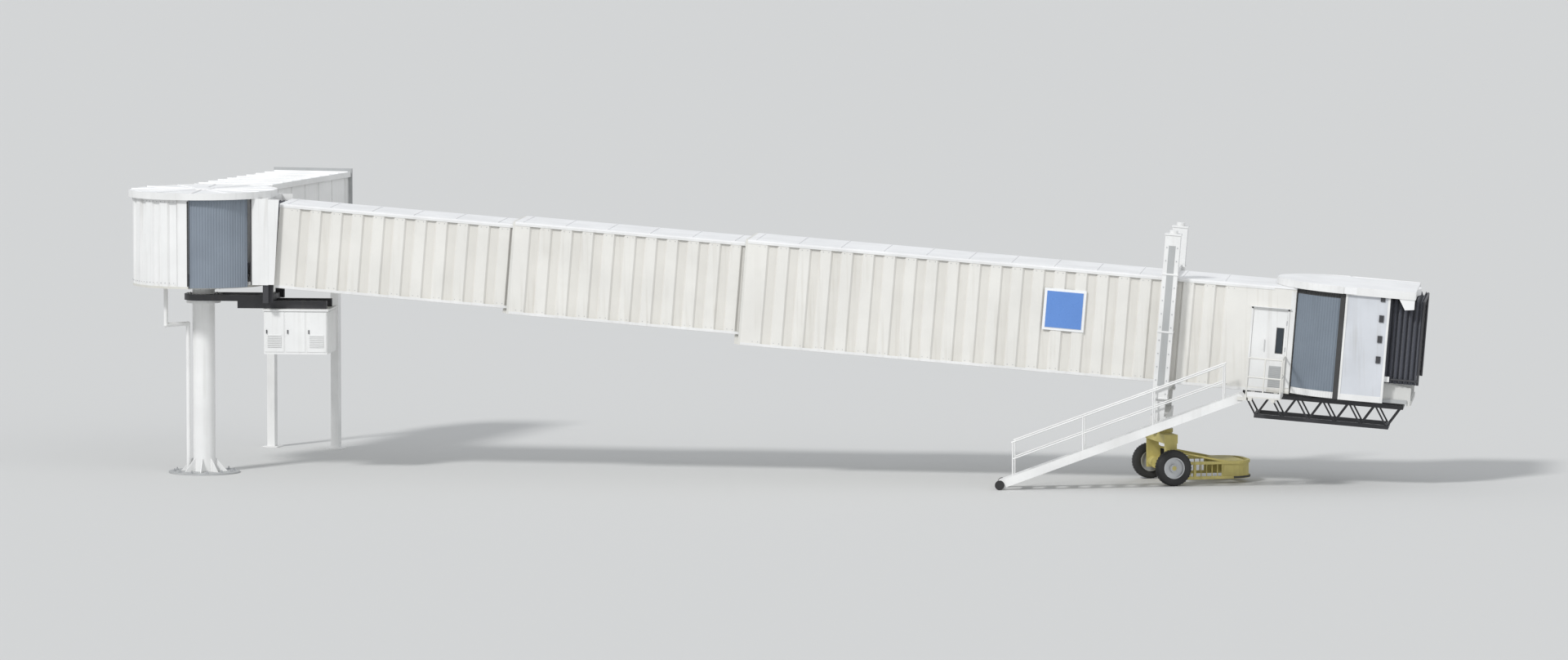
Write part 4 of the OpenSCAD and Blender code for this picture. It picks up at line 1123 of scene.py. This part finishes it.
@dataclass
class Tunnel:
    """One of the ribbed tunnels, in its own sloping frame."""

    name: str
    start: float
    end: float
    width: float
    bottom: float
    top: float
    rib_start: float
    rib_end: float
    floor_top: float
    rib_pitch: float = 0.565
    rib_land: float = 0.265
    trim: float = 0.012
    seam_start: float = 0.2
    seam_gap: float = 1.13
    seam_height: float = 0.014

    def build(self) -> None:
        """Dresses the tunnel and adds eave trims, roof seams, screws and flooring."""
        half = self.width / 2
        paint(f"{self.name}_walls", cream(f"{self.name}_cream_paint", half))
        paint(f"{self.name}_roof", ROOF)
        paint(f"{self.name}_floor", SILL)
        eave = Maker(f"{self.name}_eave_trims", TUNNEL)
        for low, high in ((self.top - 0.1, self.top - 0.05), (self.bottom + 0.005, self.bottom + 0.075)):
            eave.pair((self.start, half, low), (self.end, half + self.trim, high))
        eave.done(STEEL_WHITE, self.name)
        seams = int((self.end - self.start - 2 * self.seam_start) / self.seam_gap) + 1
        seam_half, seam_lap = 0.01, 0.008
        seam = Maker("seam").box((-seam_half, -half - seam_lap, 0),
                                 (seam_half, half + seam_lap, self.seam_height))
        rows = [row((self.start + self.seam_start, 0, self.top), (self.seam_gap, 0, 0), seams)]
        repeated(f"{self.name}_roof_seams", seam, rows, ROOF, self.name, TUNNEL)
        self._screws(half)
        floor = Maker(f"{self.name}_flooring", TUNNEL)
        floor_half, covering = half - 0.07, 0.003
        floor.box((self.start + 0.02, -floor_half, self.floor_top),
                  (self.end - 0.01, floor_half, self.floor_top + covering))
        floor.done(FLOORING, self.name)

    def _screws(self, half: float) -> None:
        """Screws the ribs' lands to the frame, top and bottom.

        Args:
            half: Half the tunnel's outer width.
        """
        length = self.rib_end - self.rib_start
        count = int((length - self.rib_land) / self.rib_pitch)
        margin = (length - count * self.rib_pitch - self.rib_land) / 2
        radius, reach, inset = 0.011, 0.006, 0.06
        screw = hex_head(radius, (0, -reach, 0), (0, reach, 0))
        rows = []
        for z in (self.bottom + 0.12, self.top - 0.15):
            for shift in (inset, self.rib_land - inset):
                first = (self.rib_start + margin + shift, half + 0.001, z)
                rows += rows_both_sides(first, (self.rib_pitch, 0, 0), count + 1)
        repeated(f"{self.name}_rib_screws", screw, rows, GALVANISED, self.name, TUNNEL)


@dataclass
class EntryFrame:
    """The frame at the start of an outer tunnel, with its seal against the inner one."""

    outer: Tunnel
    inner: Tunnel
    room: float = 0.03
    lip: float = 0.01
    front: float = 0.06
    sheet: float = 0.012
    bolts: int = 6
    bolt_gap: float = 0.4

    def build(self) -> None:
        """Dresses the frame and adds the seal and the bolts."""
        body = self.outer.name
        paint(f"{body}_entry", FRAME_GREY)
        half, head = self.inner.width / 2 + self.room, self.inner.top + self.room
        u = self.outer.start - self.front
        seal = Maker(f"{body}_entry_seal", TUNNEL)
        seal.pair((u - self.sheet, half - self.lip, self.inner.bottom), (u, half, head))
        seal.box((u - self.sheet, -half, head - self.lip), (u, half, head))
        seal.done(SEAL_AND_SHADOW, body)
        bolt_radius, first_bolt = 0.014, 0.25
        bolt = hex_head(bolt_radius, (-self.sheet, 0, 0), (0, 0, 0))
        bolt_y = (half + self.outer.width / 2) / 2
        rows = rows_both_sides((u, bolt_y, self.outer.bottom + first_bolt), (0, 0, self.bolt_gap), self.bolts)
        repeated(f"{body}_entry_bolts", bolt, rows, GALVANISED, body, TUNNEL)


@dataclass
class DoorBay:
    """The flat bay of the third tunnel: the service door, the landing and the sign."""

    near: float = -1.28
    door_start: float = 26.1
    door_width: float = 0.9
    sill: float = -0.33
    door_height: float = 2.05
    trim: float = 0.05
    pane: tuple[float, float, float, float] = (26.755, 26.925, 0.6, 1.25)
    post_low: Point = (27.06, 1.278, -0.3)
    post_high: Point = (27.185, 1.294, 2.24)
    sign_low: Point = (20.65, -1.316, 0.75)
    sign_high: Point = (21.61, -1.309, 1.71)
    landing_top: float = -0.48
    landing_inner: float = -1.3
    landing_outer: float = -2.6

    def build(self) -> None:
        """Dresses the door bay and adds frame, window, grille, hinges, sign face, posts and landing."""
        paint("service_door", WHITE)
        paint("stair_landing", FRAME_GREY)
        paint("sign_panel", SIGN_WHITE)
        self._frame()
        self._window()
        self._grille()
        hinge_radius, hinge_half, hinge_gap, hinges = 0.014, 0.06, 0.7, 3
        hinge = Maker("hinge").rod(hinge_radius, (0, 0, -hinge_half), (0, 0, hinge_half), sides=10)
        first = (self.door_start + self.door_width + 0.002, self.near - 0.012, 0.0)
        rows = [row(first, (0, 0, hinge_gap), hinges)]
        repeated("door_hinges", hinge, rows, GALVANISED, "tunnel_c", TUNNEL)
        sign = Maker("sign_face", TUNNEL).box(self.sign_low, self.sign_high)
        sign.done(BLUE, "tunnel_c", 0.003)
        post = Maker("bay_end_posts", TUNNEL).pair(self.post_low, self.post_high)
        post.done(STEEL_WHITE, "tunnel_c", 0.003)
        self._landing()

    def _frame(self) -> None:
        """Trims the door's sides and head, with a drip strip above."""
        start, end, top = self.door_start, self.door_start + self.door_width, self.sill + self.door_height
        face, trim = self.near, self.trim
        frame_trim = Maker("door_frame_trim", TUNNEL)
        for u in (start - trim, end):
            frame_trim.box((u, face - 0.02, self.sill), (u + trim, face, top + trim))
        frame_trim.box((start - trim, face - 0.02, top), (end + trim, face, top + trim))
        frame_trim.box((start - 0.08, face - 0.09, top + trim), (end + 0.08, face, top + 0.07))
        frame_trim.done(STEEL_WHITE, "tunnel_c", 0.004)

    def _window(self) -> None:
        """Sets the narrow dark pane in the door, with its seal."""
        left, right, low, high = self.pane
        face, room, rim_width = self.near, 0.002, 0.015
        window = Maker("door_window", TUNNEL)
        window.box((left + room, face + 0.007, low + room), (right - room, face + 0.015, high - room))
        window.done(DARK_GLASS, "tunnel_c")
        rim = Maker("door_window_seal", TUNNEL)
        for u0, u1, z0, z1 in bars_round(left, right, low, high, rim_width):
            rim.box((u0, face - 0.005, z0), (u1, face + 0.003, z1))
        rim.done(SEAL_AND_SHADOW, "tunnel_c")

    def _grille(self) -> None:
        """Puts the grey grille at the door's foot, on its panel."""
        end, face, head = self.door_start + self.door_width, self.near, 0.25
        panel = Maker("door_grille_panel", TUNNEL)
        panel.box((end - 0.38, face - 0.004, self.sill + 0.02), (end - 0.03, face + 0.003, head))
        panel.done(GREY, "tunnel_c", 0.001)
        blade = [(-0.012, -0.012), (-0.009, -0.014), (0.0, 0.018), (-0.003, 0.018)]
        blade_half, blade_gap, blades = 0.16, 0.034, 16
        slat = Maker("slat").prism(blade, -blade_half, blade_half, axis=0)
        rows = [row((end - 0.205, face - 0.002, self.sill + 0.045), (0, 0, blade_gap), blades)]
        repeated("door_grille", slat, rows, GREY, "tunnel_c", TUNNEL)

    def _landing(self) -> None:
        """Covers the landing with a grating and a toe board."""
        bar_half, bar_gap, bars, toe_height, sheet = 0.004, 0.035, 24, 0.12, 0.008
        inner, outer, top = self.landing_inner, self.landing_outer, self.landing_top
        start, end = 26.17, 27.05
        bar = Maker("bar").box((-bar_half, outer + 0.04, top + 0.001), (bar_half, inner, top + 0.025))
        rows = [row((start + 0.01, 0, 0), (bar_gap, 0, 0), bars)]
        repeated("landing_grating", bar, rows, GALVANISED, "tunnel_c", TUNNEL)
        toe = Maker("landing_toe_boards", TUNNEL)
        toe.box((start, outer, top), (end, outer + sheet, top + toe_height))
        toe.box((end - sheet, outer, top), (end, inner, top + toe_height))
        toe.done(STEEL_WHITE, "tunnel_c")


@dataclass
class Lift:
    """The column pair and the cross beams that carry the tunnels."""

    at: float = LIFT_AT
    y: float = 1.53
    top: float = 3.5
    bottom: float = -0.85
    column: float = 0.2
    collar_levels: tuple[float, ...] = (0.9, 2.42)
    cover_low: float = -0.5
    cover_high: float = 3.2
    bolts: int = 12
    bolt_gap: float = 0.35

    def build(self) -> None:
        """Dresses the lift and adds caps, collars, screws and covers."""
        paint("lift_outer_columns", STEEL_WHITE)
        paint("lift_inner_frame", STEEL_WHITE)
        cap = Maker("lift_column_caps", TUNNEL)
        collar = Maker("lift_column_collars", TUNNEL)
        cover = Maker("lift_column_covers", TUNNEL)
        cap_half, collar_half, collar_height, cover_half, sheet = 0.22, 0.215, 0.05, 0.09, 0.006
        for side in SIDES:
            y, face = side * self.y, side * self.y + side * self.column
            cap.box((self.at - cap_half, y - cap_half, self.top - 0.03),
                    (self.at + cap_half, y + cap_half, self.top + 0.012))
            cap.rod(0.11, (self.at, y, self.top), (self.at, y, self.top + 0.1), sides=20)
            for z in (self.bottom, *self.collar_levels):
                collar.box((self.at - collar_half, y - collar_half, z),
                           (self.at + collar_half, y + collar_half, z + collar_height))
            cover.box((self.at - cover_half, face - sheet, self.cover_low),
                      (self.at + cover_half, face + sheet, self.cover_high))
        cap.done(STEEL_WHITE, "tunnel_c", 0.008)
        collar.done(STEEL_WHITE, "tunnel_c", 0.006)
        cover.done(GREY, "tunnel_c", 0.003)
        bolt_radius, bolt_reach, bolt_x = 0.016, 0.012, 0.14
        bolt = hex_head(bolt_radius, (0, -bolt_reach, 0), (0, bolt_reach, 0))
        rows = []
        for x in (-bolt_x, bolt_x):
            first = (self.at + x, self.y + self.column, self.bottom + 0.15)
            rows += rows_both_sides(first, (0, 0, self.bolt_gap), self.bolts)
        repeated("lift_column_bolts", bolt, rows, GALVANISED, "tunnel_c", TUNNEL)


@dataclass
class Bogie:
    """The steered bogie with its two wheels and the guard."""

    track: float = 2.2
    radius: float = 0.475
    rim: float = 0.28
    tyre: float = 0.26
    bearing_z: float = 1.33
    bearing_circle: float = 0.265
    bearing_bolts: int = 18
    guard_half: float = 0.82
    guard_bend: float = 0.56
    guard_side_end: float = 1.74
    guard_front: float = 2.3
    strip_room: float = 0.038
    strip_depth: float = 0.014
    lugs: int = 36
    nut_circle: float = 0.09
    wheel_nuts: int = 8

    def build(self) -> None:
        """Dresses the bogie and the rims, and builds tyres with lugs and wheel nuts."""
        paint("bogie_frame", YELLOW)
        paint("bogie_guard", YELLOW)
        for name, side in (("near", -1), ("far", 1)):
            self._wheel(name, side)
        bolt_radius, bolt_height = 0.018, 0.02
        bolt = hex_head(bolt_radius, (0, 0, 0), (0, 0, -bolt_height))
        places = circle((0, 0, self.bearing_z), self.bearing_circle, self.bearing_bolts)
        repeated("bogie_bearing_bolts", bolt, [places], GALVANISED, "bogie", BOGIE)
        self._guard()
        hose_radius = 0.016
        hose = Maker("bogie_hoses", BOGIE)
        for side in SIDES:
            hose.tube(hose_radius, [(0.19, side * 0.25, 1.2), (0.26, side * 0.35, 1.05),
                                    (0.27, side * 0.5, 0.85), (0.24, side * 0.62, 0.65),
                                    (0.15, side * 0.68, 0.5)])
        hose.done(SEAL_AND_SHADOW, "bogie", look=Look.SMOOTH)

    def _guard(self) -> None:
        """Adds upright bars, a bumper strip and cover plates to the guard."""
        half, side_end = self.guard_half, self.guard_side_end
        bar_radius, bar_low, bar_high, first_bar, bar_gap, bars = 0.014, 0.2, 0.53, 0.4, 0.15, 7
        bar = Maker("bar").rod(bar_radius, (0, 0, bar_low), (0, 0, bar_high), sides=8)
        rows = rows_both_sides((first_bar, half, 0), (bar_gap, 0, 0), bars)
        repeated("guard_side_bars", bar, rows, YELLOW, "bogie", BOGIE)
        strip_low, strip_high = 0.143, 0.193
        strip = Maker("guard_bumper_strip", BOGIE).prism(self._strip_outline(), strip_low, strip_high)
        strip.done(SEAL_AND_SHADOW, "bogie")
        plate = Maker("guard_cover", BOGIE)
        low, high = 0.597, 0.6
        plate.box((side_end - 0.3, -half + 0.02, low), (side_end + 0.1, half - 0.02, high))
        plate.box((side_end + 0.1, -half + 0.1, low), (self.guard_front - 0.2, half - 0.1, high))
        plate.done(YELLOW, "bogie")

    def _strip_outline(self) -> list[tuple[float, float]]:
        """Runs round the guard's two front corners on the inside, and back on the outside.

        Returns:
            The bumper strip's outline from above.
        """
        inner = self.guard_bend + self.strip_room
        outer, turn = inner + self.strip_depth, 15
        straight = self.guard_half - self.guard_bend
        corners = []
        for reach, side, angles in ((inner, 1, range(90, -1, -turn)), (inner, -1, range(0, 91, turn)),
                                    (outer, -1, range(90, -1, -turn)), (outer, 1, range(0, 91, turn))):
            for angle in angles:
                along, out = reach * math.cos(math.radians(angle)), reach * math.sin(math.radians(angle))
                corners.append((self.guard_side_end + along, side * (straight + out)))
        return corners

    def _tyre_profile(self) -> list[tuple[float, float]]:
        """Draws the tyre's section as (radius, distance along the axle).

        Returns:
            The profile from the rim's one edge over the tread to the other.
        """
        half = self.tyre / 2
        wall = [(self.rim, half - 0.02), (self.rim + 0.05, half - 0.002), (self.radius - 0.07, half),
                (self.radius - 0.025, half - 0.02), (self.radius - 0.006, half - 0.05),
                (self.radius - 0.004, 0.02)]
        return wall + [(r, -z) for r, z in reversed(wall)]

    def _wheel(self, name: str, side: int) -> None:
        """Builds one wheel's tyre, lugs and nuts.

        Args:
            name: "near" or "far".
            side: -1 or 1.
        """
        body = f"{name}_wheel"
        axle = BOGIE @ Matrix.Translation((0, side * self.track / 2, self.radius))
        place = axle @ Matrix.Rotation(-math.pi / 2, 4, "X")
        half = self.tyre / 2
        tyre = Maker(f"{name}_tyre_carcass", place).turned(self._tyre_profile(), steps=72)
        tyre.done(TYRE, body, look=Look.SMOOTH, replaces=(f"{name}_tyre",))
        lug_depth, lug_half, shoulder, split = 0.012, 0.013, half - 0.03, 0.01
        step = 360 / self.lugs
        for letter, low, high, first in (("a", -shoulder, -split, 0), ("b", split, shoulder, step / 2)):
            lug = Maker("lug").box((-lug_depth, -lug_half, low), (0.0, lug_half, high))
            places = circle((0, 0, 0), self.radius, self.lugs, first)
            repeated(f"{name}_tyre_lugs_{letter}", lug, [places], TYRE, body, place)
        paint(f"{name}_rim", GALVANISED)
        nut_radius, nut_height = 0.016, 0.024
        nut = hex_head(nut_radius, (0, 0, half - nut_height), (0, 0, half))
        places = circle((0, 0, 0), self.nut_circle, self.wheel_nuts)
        repeated(f"{name}_wheel_nuts", nut, [places], GALVANISED, body,
                 axle @ Matrix.Rotation(-side * math.pi / 2, 4, "X"))


@dataclass
class ServiceStair:
    """The stair from the ground to the landing."""

    length: float = STAIR_LENGTH
    inner: float = -1.8
    outer: float = -2.6
    treads: int = 12
    side_room: float = 0.055
    bars: int = 8
    first_bar: float = -0.115
    bar_gap: float = 0.03
    bar_width: float = 0.008

    def build(self) -> None:
        """Dresses the stair and adds tread grating and nosings."""
        paint("stair_stringers", STEEL_WHITE)
        paint("stair_handrails", STEEL_WHITE)
        paint("stair_treads", GALVANISED)
        paint("stair_casters", TYRE)
        spacing = self.length / (self.treads + 1)
        nosing = Maker("stair_nosings", STAIR)
        bars = Maker("stair_tread_gratings", STAIR)
        for i in range(1, self.treads + 1):
            centre = Vector((-i * spacing, 0, 0))
            self._level_box(nosing, centre, (-0.145, -0.125), (-0.01, 0.026))
            for k in range(self.bars):
                x = self.first_bar + self.bar_gap * k
                self._level_box(bars, centre, (x, x + self.bar_width), (0.02, 0.03))
        nosing.done(STEEL_WHITE, "stair")
        bars.done(GALVANISED, "stair")

    def _level_box(self, maker: Maker, centre: Vector, xs: tuple[float, float],
                   zs: tuple[float, float]) -> None:
        """Adds a box across a tread that lies level while the stair slopes.

        Args:
            maker: The piece that gets the box.
            centre: The tread's middle in the stair's frame.
            xs: Where the box starts and ends along the tread's depth.
            zs: Its bottom and top.
        """
        level = Matrix.Rotation(STAIR_ANGLE, 4, "Y")
        ys = (self.outer + self.side_room, self.inner - self.side_room)
        for vertex in bmesh.ops.create_cube(maker.mesh, size=1.0)["verts"]:
            corner = Vector([ends[int(c > 0)] for ends, c in zip((xs, ys, zs), vertex.co)])
            vertex.co = level @ corner + centre


@dataclass
class Cab:
    """The turning cab with its curtains, windows, bumper and canopy."""

    radius: float = 1.8
    front: float = 1.17
    nose: float = 1.80
    floor: float = -0.33
    roof: float = 2.36
    roof_top: float = 2.53
    curtain_radius: float = 1.765
    near_angles: tuple[float, float] = (223.7, 269.6)
    far_angles: tuple[float, float] = (90.4, 136.3)
    window_y: tuple[float, float] = (1.27, 1.65)
    window_low: float = 0.95
    window_high: float = 1.95
    canopy_low: float = 0.09
    canopy_high: float = 2.34
    canopy_half: float = 1.56
    canopy_corner: float = 0.16
    canopy_end: float = 2.0

    def build(self) -> None:
        """Dresses the cab and adds curtains, trims, windows, latches, bumper pads and the canopy."""
        # The side walls take the darker white, which is painted shade
        paint("cab_walls", CAB_WALL_SHADED)
        paint("cab_front_wall", WHITE)
        paint("cab_roof", ROOF)
        paint("cab_floor", GREY)
        paint("cab_windows", GLASS)
        paint("cab_bumper", BUMPER)
        paint("cab_support", DARK)
        paint("canopy_hoop", DARK)
        self._curtains()
        self._roof_edges()
        self._corners()
        self._sides()
        pad = Maker("pad").box((0, -0.12, -0.06), (0.03, 0.12, 0.06))
        pads, pad_gap = 11, 0.26
        rows = [row((self.nose + 0.09, -pad_gap * (pads - 1) / 2, self.floor - 0.07), (0, pad_gap, 0), pads)]
        repeated("bumper_pads", pad, rows, BUMPER, "cab", CAB)
        self._canopy()

    def _curtains(self) -> None:
        """Hangs each side's slats between a dark bar at the head, which is painted shadow under the roof, and
        a white one at the foot.
        """
        sill, head, gap = self.floor + 0.08, self.roof - 0.14, 0.002
        for side, ends, bodies in (("near", self.near_angles, ("tunnel_c", "cab")),
                                   ("far", self.far_angles, ("cab", "tunnel_c"))):
            for part, node, low, high, finish in (
                    # The slats take the darker slat paint, which is painted shade
                    ("slats", f"cab_{side}_curtain", sill, head, CAB_SLATS_SHADED),
                    # Dark bar under the roof: painted shadow in the gap above the slats
                    ("head_bars", None, head + gap, self.roof - 0.01, SEAL_AND_SHADOW),
                    ("bottom_bars", None, self.floor - 0.09, sill - gap, STEEL_WHITE)):
                Curtain(f"cab_{side}_{part}", node, bodies, CAB, self.curtain_radius, ends, low, high,
                        finish=finish).build()

    def _roof_edges(self) -> None:
        """Runs a white edge along the roof's sides, front and round back."""
        edge = Maker("cab_roof_edges", CAB)
        side_y, low, high, sheet = self.radius + 0.08, self.roof - 0.02, self.roof_top + 0.012, 0.02
        edge.pair((0, self.radius + 0.06, low), (self.nose, side_y, high))
        edge.box((self.nose, -side_y, low), (self.nose + sheet, side_y, high))
        edge.ring(self.radius + 0.12, self.radius + 0.1, self.roof - 0.005, high, start=92, end=268, steps=64)
        edge.done(STEEL_WHITE, "cab", 0.004)

    def _corners(self) -> None:
        """Trims the side walls' corners and feet, and seals the curtains' ends."""
        post = Maker("cab_corner_posts", CAB)
        width, proud, foot = 0.06, 0.016, self.floor - 0.1
        for x in (0.0, self.front - width):
            post.pair((x, self.radius, foot), (x + width, self.radius + proud, self.roof))
        post.pair((width, self.radius, foot), (self.front - width, self.radius + 0.012, self.floor + 0.06))
        post.done(STEEL_WHITE, "cab", 0.004)
        seal = Maker("cab_curtain_seals", CAB)
        for first, last in ((265.6, 269.9), (90.1, 94.4)):
            seal.ring(self.radius + 0.003, self.radius - proud, self.floor - 0.09, self.roof - 0.02,
                      start=first, end=last, steps=6)
        seal.done(SEAL_AND_SHADOW, "cab")

    def _sides(self) -> None:
        """Adds the latches on the side walls and the frames round the front windows."""
        latch = Maker("latch").box((-0.06, -0.015, -0.09), (0.06, 0.015, 0.09))
        first_latch, latch_gap, latches = 0.7, 0.54, 4
        rows = rows_both_sides((self.front - 0.2, self.radius + 0.016, first_latch), (0, 0, latch_gap),
                               latches)
        repeated("cab_side_latches", latch, rows, DARK, "cab", CAB)
        sash = Maker("cab_window_frames", CAB)
        width, proud = 0.03, 0.015
        low, high = self.floor + self.window_low, self.floor + self.window_high
        for y0, y1, z0, z1 in bars_round(*self.window_y, low, high, width):
            sash.pair((self.front, y0, z0), (self.front + proud, y1, z1))
        sash.done(SEAL_AND_SHADOW, "cab")

    def _canopy(self) -> None:
        """Folds the black canopy between the cab's front and its hoop."""
        half, high, corner, bend = self.canopy_half, self.canopy_high, self.canopy_corner, 0.05
        outline = arch([(-half, self.canopy_low), (-half, 0.6), (-half, 1.5), (-half, high - corner),
                        (-half + bend, high - bend), (-half + corner, high), (-0.7, high), (0.0, high)])
        lines = folds(self.front + 0.001, self.canopy_end, count=6, depth=0.11)
        piece = pleated("canopy_folds", CAB, outline, lines, thickness=0.008)
        dress(piece, CLOTH, None, ("canopy_bellows",))
        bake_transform(piece)


@dataclass
class Studio:
    """The pale floor, the soft light and the camera."""

    eye: Point = (40.48, -235.0, 22.93)
    aim: Point = (15.6, 0.0, 3.95)
    lens: float = 205.0
    reach: float = 900.0
    far_clip: float = 2000
    floor_low: float = -0.25
    floor_top: float = -0.002
    floor_grey: Colour = (0.62, 0.62, 0.61)
    sky: Colour = (0.93, 0.96, 1.0)
    sky_strength: float = 0.62

    def build(self) -> None:
        """Makes the floor, the world, the lamps and the camera."""
        self._floor()
        scene = bpy.context.scene
        world = bpy.data.worlds.new("studio_world")
        world.use_nodes = True
        background = world.node_tree.nodes["Background"]
        background.inputs["Color"].default_value = (*self.sky, 1)
        background.inputs["Strength"].default_value = self.sky_strength
        scene.world = world
        self._lamp("studio_key", energy=1.9, angle=8.0, turn=(50, 0, -32))
        self._lamp("studio_fill", energy=0.5, angle=60.0, turn=(60, 0, 50))
        data = bpy.data.cameras.new("studio_camera")
        data.lens = self.lens
        data.clip_end = self.far_clip
        camera = bpy.data.objects.new("studio_camera", data)
        camera.location = self.eye
        camera.rotation_euler = (Vector(self.aim) - Vector(self.eye)).to_track_quat("-Z", "Y").to_euler()
        scene.collection.objects.link(camera)
        scene.camera = camera
        scene.view_settings.view_transform = "Standard"

    def _floor(self) -> None:
        """Lays the pale floor under the bridge."""
        slab = Maker("studio_floor")
        slab.box((-self.reach, -self.reach, self.floor_low), (self.reach, self.reach, self.floor_top))
        floor = slab.raw()
        ground = bpy.data.materials.new("studio_floor_grey")
        ground.use_nodes = True
        shader = ground.node_tree.nodes["Principled BSDF"]
        shader.inputs["Base Color"].default_value = (*self.floor_grey, 1)
        shader.inputs["Roughness"].default_value = 0.9
        floor.data.materials.append(ground)

    def _lamp(self, name: str, energy: float, angle: float, turn: Point) -> None:
        """Adds a lamp that lights everything from one direction.

        Args:
            name: The lamp's name.
            energy: Its strength.
            angle: How wide it looks, in degrees.
            turn: Its turns about X, Y and Z, in degrees.
        """
        light = bpy.data.lights.new(name, "SUN")
        light.energy = energy
        light.angle = math.radians(angle)
        lamp = bpy.data.objects.new(name, light)
        lamp.rotation_euler = [math.radians(a) for a in turn]
        bpy.context.scene.collection.objects.link(lamp)


@dataclass
class Bridge:
    """The whole boarding bridge, sub-assembly by sub-assembly."""

    tunnels: list[Tunnel] = field(default_factory=lambda: [
        Tunnel("tunnel_a", 0.075, 12.2, 2.0, -0.06, 2.19, 0.075, 12.2, 0.09),
        Tunnel("tunnel_b", 6.42, 18.8, 2.28, -0.19, 2.27, 6.42, 18.8, -0.09),
        Tunnel("tunnel_c", 12.65, 26.6, 2.56, -0.45, 2.35, 12.65, 25.86, -0.33)])

    def build(self) -> None:
        """Builds each sub-assembly in order and reports it."""
        entries = [EntryFrame(outer, inner) for inner, outer in zip(self.tunnels, self.tunnels[1:])]
        steps = [Rotunda(), Corridor(), Swing(), *self.tunnels, *entries, DoorBay(), Lift(), Bogie(),
                 ServiceStair(), Cab()]
        for step in steps:
            before = len(bpy.data.objects)
            step.build()
            log.info("%s: %d pieces", type(step).__name__, len(bpy.data.objects) - before)


def main() -> None:
    """Builds the studio and the bridge."""
    logging.basicConfig(level=logging.INFO, format="%(name)s %(message)s")
    Studio().build()
    Bridge().build()


if __name__ == "__main__":
    main()
